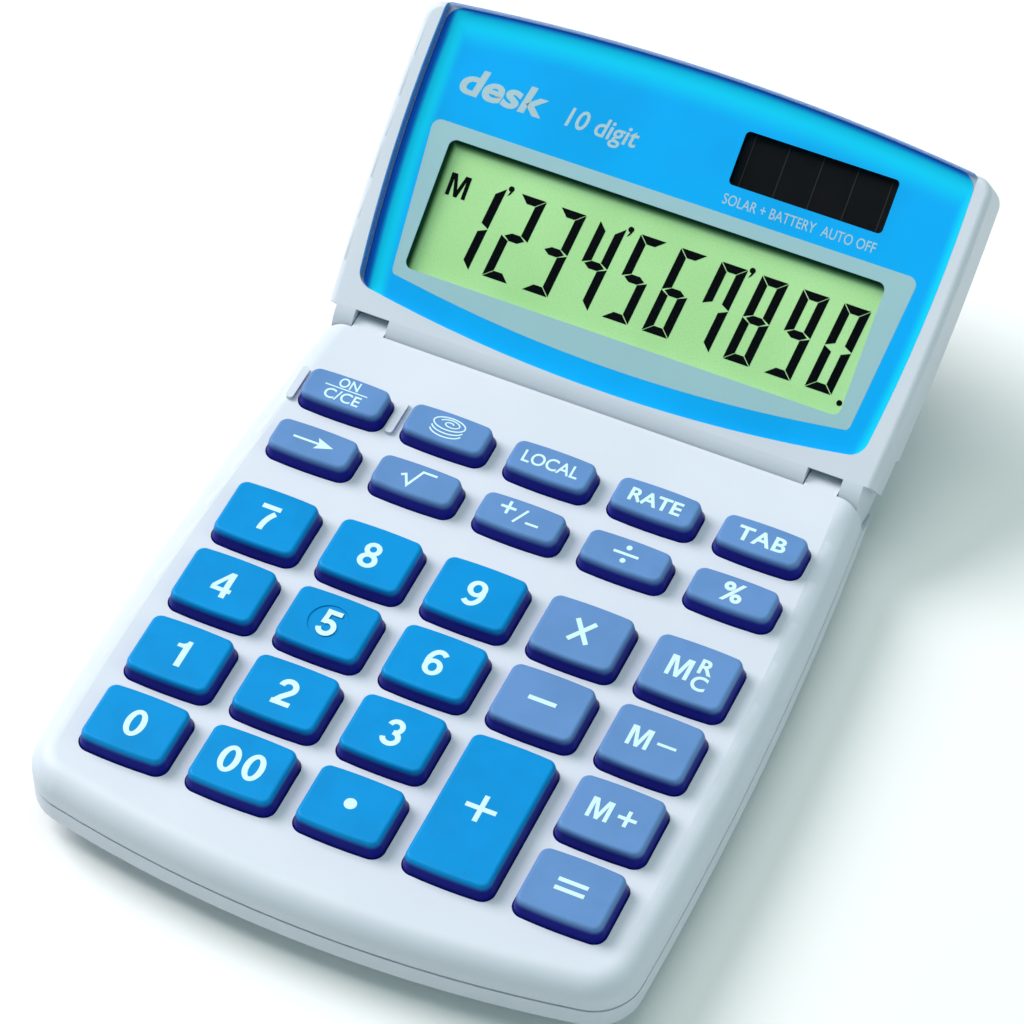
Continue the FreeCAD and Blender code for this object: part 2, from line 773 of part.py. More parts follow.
def make_rubber_keypad():
    body = new_body("rubber_keypad")
    grow = "-belly_wall - board_edge - mat_edge"
    mat = draw_outline(body, base_outline("rear_wall - board_edge - mat_edge", grow), four("board_corner"),
                       ("0", "0", "board_top"))
    pad(body, mat, "rubber_thick")
    domes = draw_circles(body, [(x, y) for _, x, y, _ in key_places()], "dome_radius",
                         ("0", "0", "board_top + rubber_thick"))
    pad(body, domes, "dome_high", lean="-dome_lean")
    notch = draw_box(body, "-cable_wide / 2 - cable_gap", "cable_wide / 2 + cable_gap", CABLE_START,
                     "rear_wall", ("0", "0", "board_top"))
    pocket(body, notch, "rubber_thick", up=True)
    holes = draw_circles(body, board_screw_places(), "boss_radius + inner_slack", ("0", "0", "board_top"))
    pocket(body, holes, "rubber_thick", up=True)
    holes = draw_circles(body, case_screw_places(), "column_radius + inner_slack", ("0", "0", "board_top"))
    pocket(body, holes, "rubber_thick", up=True)
    return body


def make_key(name, x, y, deep):
    """A moulded key: a drafted cap, a flange under the deck, a hollow and a plunger for its dome."""
    body = new_body(f"key_{name}")
    pad(body, draw_outline(body, key_outline(deep), four("key_corner")), "key_rise",
        lean="-atan(key_lean / key_rise)")
    round_edges(body, "key_rim", flat_at(value("key_rise")))
    pad(body, draw_outline(body, key_outline(deep), four("key_corner")), "deck_wall + flange_gap + join",
        down=True)
    flange = draw_outline(body, key_outline(deep, "key_gap + flange_over", "key_gap + flange_over"),
                          four("key_corner"), ("0", "0", "-deck_wall - flange_gap"))
    pad(body, flange, "flange_thick", down=True)
    hollow = draw_outline(body, key_outline(deep, "-key_lean - key_wall + 0.4", "-key_lean - key_wall + 0.4"),
                          four("key_corner * 0.5"), ("0", "0", "-deck_wall - flange_gap - flange_thick"))
    pocket(body, hollow, "key_rise - key_wall + deck_wall + flange_gap + flange_thick", up=True)
    plunger = draw_circles(body, [("0", "0")], "plunger_radius", ("0", "0", "-plunger_low"))
    pad(body, plunger, "plunger_low + key_rise - key_wall + join")
    if name == "5":
        ring = draw_circles(body, [("0", "0")], "dish_radius", ("0", "0", "key_rise"))
        pocket(body, ring, "dish_deep")
    bind(body, Placement__Base__x=x, Placement__Base__y=y, Placement__Base__z="deck_top")
    return body


# The head, drawn folded flat: its hinge axis is the X axis, its face is at z = barrel_radius.


def cut_knuckle_notches(body):
    """Room for each knuckle, and for its tongue over the whole swing."""
    swing = "(head_tilt + head_tilt_more)"
    reach = "(knuckle_radius + turning_gap)"
    out = "barrel_radius + 1"
    for side in ("-", ""):
        at = ("0", "0", f"{side}knuckle_out")
        wide = "knuckle_wide + 2 * knuckle_gap"
        pocket(body, draw_box(body, f"-({out})", "0", f"-({out})", out, at, "YZ_Plane"), wide, across=True)
        pocket(body, draw_circles(body, [("0", "0")], reach, at, "YZ_Plane"), wide, across=True)
        wedge = draw_triangle(body, [("0", "0"), (f"{reach} * sin({swing})", f"{reach} * cos({swing})"),
                                     ("0", f"{reach} / cos({swing})")], "YZ_Plane")
        bind(wedge, AttachmentOffset__Base__z=f"{side}knuckle_out")
        pocket(body, wedge, wide, across=True)


def make_display_front_case():
    body = new_body("display_front_case")
    shell = draw_outline(body, head_outline("0"), ["0", "head_corner", "head_corner", "0"],
                         ("0", "0", "head_split"))
    pad(body, shell, "barrel_radius - head_split")
    face = value("barrel_radius")
    round_edges(body, "head_front_round", lambda box: flat_at(face)(box) and box.YMax > 1)
    barrel_wide = "2 * (knuckle_out + knuckle_wide / 2 + knuckle_gap + barrel_over)"
    pad(body, draw_circles(body, [("0", "0")], "barrel_radius", plane="YZ_Plane"), barrel_wide, across=True)
    pad(body, draw_box(body, "0", "barrel_radius", "-barrel_radius", "head_split + 0.5", plane="YZ_Plane"),
        barrel_wide, across=True)
    recess = lens_outline("lens_gap")
    recess[2] = ("y", "head_long + 5", "")
    recess_corners = ["lens_corner + lens_gap", "0", "0", "lens_corner + lens_gap"]
    pocket(body, draw_outline(body, recess, recess_corners, ("0", "0", "film_back")),
           "2 * barrel_radius", up=True)
    for wide, high, x, y in (("window_wide", "window_high", "0", "window_up"),
                             ("solar_wide", "solar_high", "solar_out", "solar_up")):
        window = draw_outline(body, rectangle(wide, high, "web_clearance"), four("window_corner"),
                              (x, y, "film_back"))
        pocket(body, window, "web_wall + 3")
    far_corner = "head_corner - head_wall"
    hollow = draw_outline(body, head_outline("barrel_radius + 0.8", "-head_wall"),
                          ["inner_corner", far_corner, far_corner, "inner_corner"], ("0", "0", "head_split"))
    pocket(body, hollow, "web_back - head_split", up=True)
    pocket(body, draw_circles(body, [("0", "0")], "barrel_bore", plane="YZ_Plane"),
           "2 * barrel_bore_half", across=True)
    way_half = "cable_wide / 2 + cable_gap"
    way_low = ("0", "0", f"{HEAD_CABLE_LEVEL} - cable_gap")
    to_head = draw_box(body, f"-({way_half})", way_half, "0", "barrel_radius + 2", way_low)
    pocket(body, to_head, "cable_thick + 4 * cable_gap", up=True)
    to_base = draw_box(body, f"-({way_half})", way_half, "-barrel_radius - 1", "0",
                       ("0", "0", "-barrel_radius * sin(cable_way_low)"))
    pocket(body, to_base, "barrel_radius * (sin(cable_way_low) + sin(cable_way_high))", up=True)
    cut_knuckle_notches(body)
    bore = draw_circles(body, [("0", "0")], "pin_radius + pin_running", plane="YZ_Plane")
    pocket(body, bore, f"{barrel_wide} - 2 * barrel_end_wall", across=True)
    low, high = display_screw_places()[:2], display_screw_places()[2:]
    pad(body, draw_circles(body, low, "boss_radius - 0.1", ("0", "0", "-display_board_down")),
        "web_back + display_board_down + join")
    pad(body, draw_circles(body, high, "boss_radius - 0.1", ("0", "0", "head_split")),
        "web_back - head_split + join")
    threads = draw_circles(body, low, "screw_radius + screw_slack", ("0", "0", "-display_board_down"))
    pocket(body, threads, "web_back + display_board_down", up=True)
    threads = draw_circles(body, high, "screw_radius + screw_slack", ("0", "0", "head_split"))
    pocket(body, threads, "web_back - head_split", up=True)
    place_on_head(body)
    return body


def make_display_rear_case():
    body = new_body("display_rear_case")
    low = "barrel_radius + 0.15"
    shell = draw_outline(body, head_outline(low), ["0", "head_corner", "head_corner", "0"],
                         ("0", "0", "-barrel_radius"))
    pad(body, shell, "barrel_radius + head_split")
    back, front_line = value("-barrel_radius"), value(low)
    round_edges(body, "head_back_round", lambda box: flat_at(back)(box) and box.YMax > front_line + 1)
    far_corner = "head_corner - head_wall"
    hollow = draw_outline(body, head_outline(f"{low} + head_wall", "-head_wall"),
                          ["inner_corner", far_corner, far_corner, "inner_corner"], ("0", "0", "head_floor"))
    pocket(body, hollow, "barrel_radius", up=True)
    way_half = "cable_wide / 2 + cable_gap"
    cable_way = draw_box(body, f"-({way_half})", way_half, low, f"{low} + head_wall + 1",
                         ("0", "0", f"{HEAD_CABLE_LEVEL} - cable_gap"))
    pocket(body, cable_way, "barrel_radius", up=True)
    low_places, high_places = display_screw_places()[:2], display_screw_places()[2:]
    board_back = "(display_board_down + display_board_thick)"
    pad(body, draw_circles(body, low_places, "head_column_radius", ("0", "0", "head_floor - join")),
        f"-head_floor - {board_back} - stack_gap + join")
    pad(body, draw_circles(body, high_places, "head_column_radius", ("0", "0", "head_floor - join")),
        "head_split - head_floor + join")
    holes = draw_circles(body, display_screw_places(), "screw_radius + screw_clearance",
                         ("0", "0", "-barrel_radius"))
    pocket(body, holes, "barrel_radius", up=True)
    heads = draw_circles(body, display_screw_places(), "screw_head_radius + screw_clearance",
                         ("0", "0", "-barrel_radius"))
    pocket(body, heads, "screw_head_thick + 0.1", up=True)
    place_on_head(body)
    return body


def make_display_lens():
    body = new_body("display_lens")
    corners = ["lens_corner", "inner_corner", "inner_corner", "lens_corner"]
    back = ("0", "0", "film_back + film_thick")
    pad(body, draw_outline(body, lens_outline(), corners, back), "lens_thick")
    round_edges(body, "lens_edge_round", flat_at(value("barrel_radius + lens_proud")))
    place_on_head(body)
    return body


def make_lens_backing():
    """The printed film behind the lens, with clear windows for the display and the solar cell."""
    body = new_body("lens_backing")
    corners = ["lens_corner", "inner_corner", "inner_corner", "lens_corner"]
    back = ("0", "0", "film_back")
    pad(body, draw_outline(body, lens_outline("-film_inset"), corners, back), "film_thick")
    for wide, high, x, y in (("window_wide", "window_high", "0", "window_up"),
                             ("solar_wide", "solar_high", "solar_out", "solar_up")):
        window = draw_outline(body, rectangle(wide, high), four("window_corner - film_corner_less"),
                              (x, y, "film_back"))
        pocket(body, window, "film_thick", up=True)
    place_on_head(body)
    return body


def make_lcd_panel():
    """Two glasses. The front one is taller, and its lower edge carries the contacts."""
    body = new_body("lcd_panel")
    front_glass = draw_outline(body, rectangle("glass_wide", "glass_high"), four("0"),
                               ("0", "window_up", "glass_back"))
    pad(body, front_glass, "glass_thick")
    rear_glass = draw_box(body, "-glass_wide / 2", "glass_wide / 2",
                          "window_up - glass_high / 2 + glass_ledge", "window_up + glass_high / 2",
                          ("0", "0", "glass_back"))
    pad(body, rear_glass, "glass_thick", down=True)
    place_on_head(body)
    return body


def make_zebra_strip():
    """The rubber connector between the glass's contacts and the display board."""
    body = new_body("zebra_strip")
    low = "window_up - glass_high / 2 + stack_gap"
    strip = draw_box(body, "-strip_wide / 2", "strip_wide / 2", low, f"{low} + strip_deep",
                     ("0", "0", "-display_board_down"))
    pad(body, strip, "glass_back + display_board_down")
    place_on_head(body)
    return body


def make_solar_cell():
    body = new_body("solar_cell")
    plate = draw_outline(body, rectangle("solar_wide", "solar_high", "cell_border"), four("0.3"),
                         ("solar_out", "solar_up", "glass_front"))
    pad(body, plate, "cell_thick", down=True)
    place_on_head(body)
    return body


def make_display_board():
    body = new_body("display_board")
    level = ("0", "0", "-display_board_down")
    plate = draw_box(body, "-display_board_half", "display_board_half", "display_board_low",
                     "display_board_high", level)
    pad(body, plate, "display_board_thick", down=True)
    holes = draw_circles(body, display_screw_places()[:2], "screw_radius + screw_clearance", level)
    pocket(body, holes, "display_board_thick")
    place_on_head(body)
    return body


def make_cables():
    """The flat cable: from the main board into the barrel, and from there to the display board."""
    base = new_body("ribbon_cable_base")
    level = "board_top"
    strip = draw_box(base, "-cable_wide / 2", "cable_wide / 2", f"{CABLE_START} + cable_gap", "hinge_y",
                     ("0", "0", level))
    pad(base, strip, "cable_thick")
    head = new_body("ribbon_cable_head")
    strip = draw_box(head, "-cable_wide / 2", "cable_wide / 2", "0.6", "display_board_low + cable_lap",
                     ("0", "0", HEAD_CABLE_LEVEL))
    pad(head, strip, "cable_thick")
    place_on_head(head)
    return [base, head]


# Pieces that come in sets share one node as separate solids.


def screw_shape(shank_long):
    """A pan-head screw with a cross recess, its head's underside at the origin, pointing up."""
    radius, head = value("screw_radius"), value("screw_head_radius")
    thick, cross = value("screw_head_thick"), value("cross_wide")
    shank = Part.makeCylinder(radius, shank_long)
    dome = Part.makeCylinder(head, thick, Vector(0, 0, -thick))
    rim = [e for e in dome.Edges if abs(e.BoundBox.ZMax + thick) < 1e-6 and len(e.Vertexes) == 1]
    dome = dome.makeFillet(thick * 0.4, rim)
    long = head * 1.2
    for wide, deep in ((long, cross), (cross, long)):
        dome = dome.cut(Part.makeBox(wide, deep, value("cross_deep"), Vector(-wide / 2, -deep / 2, -thick)))
    return shank.fuse(dome)


def make_set(label, shape, places, height):
    """One node of the same solid at several places."""
    node = document.addObject("Part::Feature", label)
    node.Label = label
    copies = []
    for x, y in places:
        copy = shape.copy()
        copy.translate(Vector(value(x), value(y), value(height)))
        copies.append(copy)
    node.Shape = Part.makeCompound(copies)
    return node


def make_case_screws():
    shank = value("parting - floor_low - screw_head_thick + screw_reach - 1")
    return make_set("case_screws", screw_shape(shank), case_screw_places(),
                    "floor_low + screw_head_thick + screw_seat")


def make_board_screws():
    shank = value("board_thick + screw_reach")
    return make_set("board_screws", screw_shape(shank), board_screw_places(), "board_under")


def make_display_screws():
    shank = value("barrel_radius - screw_head_thick + screw_reach - 2")
    node = make_set("display_screws", screw_shape(shank), display_screw_places(),
                    "-barrel_radius + screw_head_thick + 0.05")
    place_on_head(node)
    return node


def make_rubber_feet():
    foot = Part.makeCylinder(value("foot_radius"), value("floor_low + foot_sunk"))
    rim = [e for e in foot.Edges if abs(e.BoundBox.ZMax) < 1e-6 and len(e.Vertexes) == 1]
    foot = foot.makeChamfer(value("floor_low") * 0.4, rim)
    return make_set("rubber_feet", foot, foot_places(), "0")


def make_hinge_pins():
    long = value("pin_long")
    pin = Part.makeCylinder(value("pin_radius"), long, Vector(-long / 2, 0, 0), Vector(1, 0, 0))
    pin = pin.makeChamfer(value("pin_radius") * 0.25, [e for e in pin.Edges if len(e.Vertexes) == 1])
    return make_set("hinge_pins", pin, mirrored(("knuckle_out", "hinge_y")), "hinge_z")


def make_all():
    fill_sheet()
    nodes = [make_upper_case(), make_lower_case(), make_battery_door(), make_battery_cell(),
             *make_contacts(), make_main_board(), make_board_chip(), make_rubber_keypad()]
    nodes += [make_key(*place) for place in key_places()]
    nodes += [make_display_front_case(), make_display_rear_case(), make_display_lens(), make_lens_backing(),
              make_lcd_panel(), make_zebra_strip(), make_solar_cell(), make_display_board(), *make_cables()]
    nodes += [make_case_screws(), make_board_screws(), make_display_screws(), make_rubber_feet(),
              make_hinge_pins()]
    document.recompute()
    return nodes


def check_and_write(nodes):
    for thing in document.Objects:
        if {"Invalid", "Error"} & set(thing.State):
            raise RuntimeError(f"{thing.Label} failed: {thing.State}")
    for node in nodes:
        if node.Shape.isNull() or not node.Shape.isValid() or not node.Shape.Solids:
            raise RuntimeError(f"{node.Label} has no valid solid")
    os.makedirs("parts", exist_ok=True)
    for node in nodes:
        node.Shape.exportStep(f"parts/{node.Label}.step")
        print(f"{node.Label}: {len(node.Shape.Solids)} solid(s), {node.Shape.Volume:.1f} mm3")


check_and_write(make_all())
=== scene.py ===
import bmesh
import bpy
import json
import math
from mathutils import Matrix, Vector


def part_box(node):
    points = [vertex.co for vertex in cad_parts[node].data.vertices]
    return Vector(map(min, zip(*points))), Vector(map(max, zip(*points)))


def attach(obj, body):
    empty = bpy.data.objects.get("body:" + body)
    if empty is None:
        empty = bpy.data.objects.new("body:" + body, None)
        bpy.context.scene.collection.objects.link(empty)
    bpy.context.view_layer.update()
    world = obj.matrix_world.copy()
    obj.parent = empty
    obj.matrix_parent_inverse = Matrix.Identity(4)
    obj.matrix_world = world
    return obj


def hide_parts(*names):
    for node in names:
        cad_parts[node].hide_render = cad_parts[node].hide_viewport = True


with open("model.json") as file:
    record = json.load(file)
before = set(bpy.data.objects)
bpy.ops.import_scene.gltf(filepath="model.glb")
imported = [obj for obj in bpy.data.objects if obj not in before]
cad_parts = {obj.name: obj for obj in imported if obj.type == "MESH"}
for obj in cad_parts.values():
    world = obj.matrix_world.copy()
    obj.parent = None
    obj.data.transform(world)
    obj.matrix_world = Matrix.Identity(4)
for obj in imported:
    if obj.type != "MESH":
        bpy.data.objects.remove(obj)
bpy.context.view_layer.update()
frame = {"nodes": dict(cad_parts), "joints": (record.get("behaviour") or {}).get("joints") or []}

MM = 0.001
NODES = frame["nodes"]
TILT_JOINT = next(joint for joint in frame["joints"] if joint["name"] == "display_tilt")
HINGE = Vector(TILT_JOINT["pos_m"])
TILT = math.radians(-TILT_JOINT["range_deg"][0])
# From the display housing lying flat, with the hinge axis at its origin, to where it stands.
HEAD = Matrix.Translation(HINGE) @ Matrix.Rotation(TILT, 4, "X")

# Sizes of the display housing, in millimetres from the hinge axis
LENS_BACK = 4.4
FILM_THICK = 0.2
GLASS_FRONT = 2.75
PRINT_THICK = 0.03
WINDOW = (0.0, 20.35, 76.1, 22.3, 1.3)
SOLAR_WINDOW = (21.25, 43.25, 26.4, 9.1, 0.8)
LENS_TOP = (0.0, 55.0, 402.0)
LENS_SIDE = (46.4, 40.5, 273.0)
LENS_LOW = (0.0, 0.6, 260.0)
FILM_INSET = 0.3
LENS_CORNER = 3.0
FILM_SHY = 0.06
PRINT_SUNK = 0.01
INK_PROUD = 0.01
LINE_THICK = 0.02

# Colours, linear
CASE_WHITE = (0.69, 0.705, 0.785, 1)
CASE_SHADE = (0.64, 0.66, 0.745, 1)
KEY_BLUE = (0.0, 0.265, 0.655, 1)
KEY_LAVENDER = (0.13, 0.262, 0.55, 1)
KEY_WALL_PAINTED_SHADE = (0.0, 0.003, 0.24, 1)
LEGEND_WHITE = (0.66, 0.84, 0.88, 1)
FILM_BLUE = (0.0, 0.44, 1.0, 1)
# Painted highlight and painted shade on the blue lens print
FILM_HIGHLIGHT_CYAN = (0.0, 0.68, 1.0, 1)
FILM_PAINTED_SHADE = (0.0, 0.11, 0.60, 1)
SURROUND_SILVER = (0.40, 0.62, 0.68, 1)
LCD_GREEN = (0.53, 0.86, 0.40, 1)
LCD_SHADE = (0.42, 0.74, 0.31, 1)
LCD_PAINTED_SHADOW = (0.01, 0.07, 0.01, 1)
LEGEND_SHADE = (0.60, 0.80, 0.85, 1)
SILVER_SHADE = (0.37, 0.58, 0.65, 1)
CAPTION_SILVER = (0.50, 0.66, 0.72, 1)
CAPTION_SHADE = (0.44, 0.60, 0.68, 1)
SEGMENT_BLACK = (0.0004, 0.0004, 0.0005, 1)
SEGMENT_SHADE = (0.001, 0.001, 0.0012, 1)
SOLAR_BLACK = (0.0008, 0.0008, 0.001, 1)
SOLAR_SHEEN = (0.003, 0.002, 0.0025, 1)
RESIST_GREEN = (0.012, 0.10, 0.028, 1)
RESIST_OVER_COPPER = (0.03, 0.19, 0.05, 1)
FLEX_FILM = (0.72, 0.70, 0.62, 1)
TINNED_WIRE = (0.42, 0.43, 0.45, 1)
FLOOR_WHITE = (0.92, 0.89, 0.895, 1)
FLOOR_SHADE = (0.90, 0.87, 0.875, 1)
LENS_CLEAR = (0.0, 0.02, 0.05, 1)
LENS_RIM_PAINTED_SHADE = (0.0, 0.22, 0.72, 1)

# Heights between which a key's wall turns from navy painted shade to the colour of its top, in millimetres
KEY_SHADE_LOW = 16.1
KEY_SHADE_HIGH = 17.25

# How far inside the lens's outline the painted light runs, in millimetres: where a painted highlight band
# starts, is full, fades and ends, and where a painted shade edge fades and ends.
LEFT_PAINTED_HIGHLIGHT = (1.3, 2.1, 3.0, 5.2)
TOP_PAINTED_HIGHLIGHT = (0.8, 1.5, 2.3, 7.0)
RIGHT_PAINTED_HIGHLIGHT = (0.5, 2.2)
LOW_PAINTED_HIGHLIGHT = (0.6, 1.6)
LOW_PAINTED_HIGHLIGHT_SHARE = 0.5
LEFT_PAINTED_SHADE = (0.9, 1.9)
TOP_PAINTED_SHADE = (0.4, 1.1)
RIM_DEPTH = 0.75
RIM_ALPHA = 0.55
CLEAR_ALPHA = 0.015


# Node trees. A wire is one value in a tree, and sums of wires become Math nodes.


class Wire:
    def __init__(self, tree, socket):
        self.tree = tree
        self.socket = socket

    def sum(self, operation, *others):
        node = self.tree.nodes.new("ShaderNodeMath")
        node.operation = operation
        for place, item in enumerate((self, *others)):
            feed(self.tree, item, node.inputs[place])
        return Wire(self.tree, node.outputs[0])

    def __add__(self, other):
        return self.sum("ADD", other)

    def __sub__(self, other):
        return self.sum("SUBTRACT", other)

    def __mul__(self, other):
        return self.sum("MULTIPLY", other)

    def __truediv__(self, other):
        return self.sum("DIVIDE", other)

    def __neg__(self):
        return self.sum("MULTIPLY", -1.0)

    def fade(self, start, end):
        """1 below start, 0 above end, and an even curve between them."""
        return -self.smooth(start, end) + 1.0

    def smooth(self, low, high):
        """0 below low, 1 above high, and an even curve between them."""
        node = self.tree.nodes.new("ShaderNodeMapRange")
        node.interpolation_type = "SMOOTHSTEP"
        feed(self.tree, self, node.inputs["Value"])
        node.inputs["From Min"].default_value = low
        node.inputs["From Max"].default_value = high
        return Wire(self.tree, node.outputs["Result"])


def feed(tree, item, socket):
    """Link a wire to a socket, or set the socket to a plain value."""
    if isinstance(item, Wire):
        tree.links.new(item.socket, socket)
    else:
        socket.default_value = item


class Finish:
    """A material being made, with its shader and its place in millimetres."""

    def __init__(self, name, on_head=False, **fixed):
        self.material = bpy.data.materials.new(name)
        self.material.use_nodes = True
        self.tree = self.material.node_tree
        self.shader = next(node for node in self.tree.nodes if node.type == "BSDF_PRINCIPLED")
        for socket, number in fixed.items():
            self.shader.inputs[socket.replace("_", " ")].default_value = number
        place = self.tree.nodes.new("ShaderNodeTexCoord")
        ruler = self.tree.nodes.new("ShaderNodeMapping")
        ruler.inputs["Scale"].default_value = (1 / MM, 1 / MM, 1 / MM)
        if on_head:
            ruler.inputs["Rotation"].default_value = (-TILT, 0, 0)
            ruler.inputs["Location"].default_value = -(Matrix.Rotation(-TILT, 3, "X") @ HINGE) / MM
        self.tree.links.new(place.outputs["Object"], ruler.inputs["Vector"])
        self.place = Wire(self.tree, ruler.outputs["Vector"])
        parts = self.tree.nodes.new("ShaderNodeSeparateXYZ")
        self.tree.links.new(ruler.outputs["Vector"], parts.inputs[0])
        self.x, self.y, self.z = (Wire(self.tree, parts.outputs[axis]) for axis in range(3))

    def noise(self, size, detail=2.0, roughness=0.5):
        """Random cloud between 0 and 1, with features of about that many millimetres."""
        node = self.tree.nodes.new("ShaderNodeTexNoise")
        node.inputs["Scale"].default_value = 1 / size
        node.inputs["Detail"].default_value = detail
        node.inputs["Roughness"].default_value = roughness
        self.tree.links.new(self.place.socket, node.inputs["Vector"])
        return Wire(self.tree, node.outputs["Fac"])

    def stripes(self, size, direction):
        node = self.tree.nodes.new("ShaderNodeTexWave")
        node.bands_direction = direction
        node.inputs["Scale"].default_value = math.tau / 20 / size
        self.tree.links.new(self.place.socket, node.inputs["Vector"])
        return Wire(self.tree, node.outputs["Fac"])

    def mix(self, first, second, amount):
        node = self.tree.nodes.new("ShaderNodeMix")
        node.data_type = "RGBA"
        feed(self.tree, amount, node.inputs[0])
        feed(self.tree, first, node.inputs[6])
        feed(self.tree, second, node.inputs[7])
        return Wire(self.tree, node.outputs[2])

    def set(self, socket, item):
        feed(self.tree, item, self.shader.inputs[socket])
        return self

    def relief(self, height, depth):
        """Bump of that depth in millimetres."""
        node = self.tree.nodes.new("ShaderNodeBump")
        node.inputs["Strength"].default_value = 1.0
        node.inputs["Distance"].default_value = depth * MM
        feed(self.tree, height, node.inputs["Height"])
        self.tree.links.new(node.outputs["Normal"], self.shader.inputs["Normal"])
        return self


# Materials.


def moulded(name, light, dark, grain=0.22, depth=0.006, gloss=(0.42, 0.52), **fixed):
    """Moulded plastic or rubber: a slow change of tone, fine spark grain and uneven gloss."""
    finish = Finish(name, **fixed)
    tone = finish.noise(28.0, 3.0)
    fine = finish.noise(grain, 2.0, 0.6)
    finish.set("Base Color", finish.mix(light, dark, (tone * 0.7 + fine * 0.3).smooth(0.3, 0.7)))
    finish.set("Roughness", finish.noise(9.0, 4.0) * (gloss[1] - gloss[0]) + gloss[0])
    return finish.relief(fine, depth).material


def dimmed(colour, share):
    """A colour made darker, still opaque."""
    return tuple(share * part for part in colour[:3]) + (1,)


def key_plastic_with_painted_shade(name, top):
    """Key tops of one colour, with navy painted shade running down the walls."""
    finish = Finish(name, Specular_IOR_Level=0.12)
    fine = finish.noise(0.16, 2.0, 0.6)
    tone = finish.noise(7.0, 3.0)
    crown = finish.mix(top, dimmed(top, 0.92), tone.smooth(0.35, 0.7))
    # Painted shade: below these heights the key's wall is painted navy instead of its top colour.
    clear_of_painted_shade = finish.z.smooth(KEY_SHADE_LOW, KEY_SHADE_HIGH)
    finish.set("Base Color", finish.mix(KEY_WALL_PAINTED_SHADE, crown, clear_of_painted_shade))
    finish.set("Roughness", finish.noise(3.0, 4.0) * 0.12 + 0.34)
    return finish.relief(fine, 0.004).material


def arc_inside(finish, middle_x, middle_y, radius):
    """How far a point lies inside a circle."""
    across, along = finish.x - middle_x, finish.y - middle_y
    return -((across * across + along * along).sum("SQRT") - radius)


def lens_print():
    """The blue print behind the lens, with painted shade along its left and top edges and a painted highlight
    band where light would enter the rim.
    """
    finish = Finish("lens_print", on_head=True, Roughness=0.4, Specular_IOR_Level=0.15)
    half, widest, radius = LENS_SIDE
    left = arc_inside(finish, radius - half, widest, radius)
    right = arc_inside(finish, half - radius, widest, radius)
    top = arc_inside(finish, 0.0, LENS_TOP[1] - LENS_TOP[2], LENS_TOP[2])
    low = arc_inside(finish, 0.0, LENS_LOW[2] - LENS_LOW[1], LENS_LOW[2])

    def band(depth, start, full, fade, end):
        return depth.smooth(start, full) * depth.fade(fade, end)

    # Painted highlight: cyan bands along the left, top and right edges, and half as much along the lower
    # edge.
    painted_highlight = band(left, *LEFT_PAINTED_HIGHLIGHT).sum("MAXIMUM", band(top, *TOP_PAINTED_HIGHLIGHT))
    painted_highlight = painted_highlight.sum("MAXIMUM", right.fade(*RIGHT_PAINTED_HIGHLIGHT))
    painted_highlight = painted_highlight.sum("MAXIMUM", low.fade(*LOW_PAINTED_HIGHLIGHT) * LOW_PAINTED_HIGHLIGHT_SHARE)
    # Painted shade: deep blue along the left and top edges.
    painted_shade = left.fade(*LEFT_PAINTED_SHADE).sum("MAXIMUM", top.fade(*TOP_PAINTED_SHADE))
    cloud = finish.noise(16.0, 2.0).smooth(0.3, 0.75)
    body = finish.mix(FILM_BLUE, dimmed(FILM_BLUE, 0.9), cloud)
    body = finish.mix(body, FILM_HIGHLIGHT_CYAN, painted_highlight)
    body = finish.mix(body, FILM_PAINTED_SHADE, painted_shade)
    return finish.set("Base Color", body).relief(finish.noise(0.3, 2.0), 0.003).material


def silver_print(name, light, dark):
    finish = Finish(name, Metallic=0.15)
    fleck = finish.noise(0.12, 1.0)
    tone = (fleck * 0.6 + finish.noise(14.0) * 0.4).smooth(0.3, 0.7)
    finish.set("Base Color", finish.mix(light, dark, tone))
    return finish.set("Roughness", fleck * 0.15 + 0.32).material


def display_glass():
    """The green face of the display, darker where the window's upper and left edges shade it."""
    finish = Finish("display_glass", on_head=True, Specular_IOR_Level=0.2)
    x, y, wide, high, _ = WINDOW
    from_top = -(finish.y - (y + high / 2))
    from_left = finish.x - (x - wide / 2)
    shade = from_top.fade(0.1, 1.5).sum("MAXIMUM", from_left.fade(0.0, 1.2))
    fine = finish.noise(0.25, 2.0)
    tone = (fine * 0.5 + finish.noise(20.0) * 0.5).smooth(0.3, 0.7)
    green = finish.mix(LCD_GREEN, LCD_SHADE, tone)
    # Painted shadow along the window's upper and left edges.
    finish.set("Base Color", finish.mix(green, LCD_PAINTED_SHADOW, shade))
    finish.set("Roughness", fine * 0.1 + 0.3)
    return finish.material


def lens_acrylic():
    """Clear acrylic: nearly nothing but its gloss face on, and blue painted shade at its left and top rim."""
    finish = Finish("lens_acrylic", on_head=True, Roughness=0.06, IOR=1.49, Specular_IOR_Level=0.12)
    half, widest, radius = LENS_SIDE
    left = arc_inside(finish, radius - half, widest, radius)
    top = arc_inside(finish, 0.0, LENS_TOP[1] - LENS_TOP[2], LENS_TOP[2])
    # Painted shade: the left and top rim is tinted blue and made less clear.
    edge = left.sum("MINIMUM", top).fade(0.0, RIM_DEPTH)
    finish.set("Base Color", finish.mix(LENS_CLEAR, LENS_RIM_PAINTED_SHADE, edge))
    smear = finish.noise(12.0, 3.0) * 0.012
    return finish.set("Alpha", edge * RIM_ALPHA + CLEAR_ALPHA + smear).material


def solar_face():
    finish = Finish("solar_face", on_head=True, Specular_IOR_Level=0.12)
    film = finish.noise(5.0, 3.0).smooth(0.3, 0.8)
    finish.set("Base Color", finish.mix(SOLAR_BLACK, SOLAR_SHEEN, film))
    return finish.set("Roughness", finish.noise(1.0) * 0.1 + 0.35).material


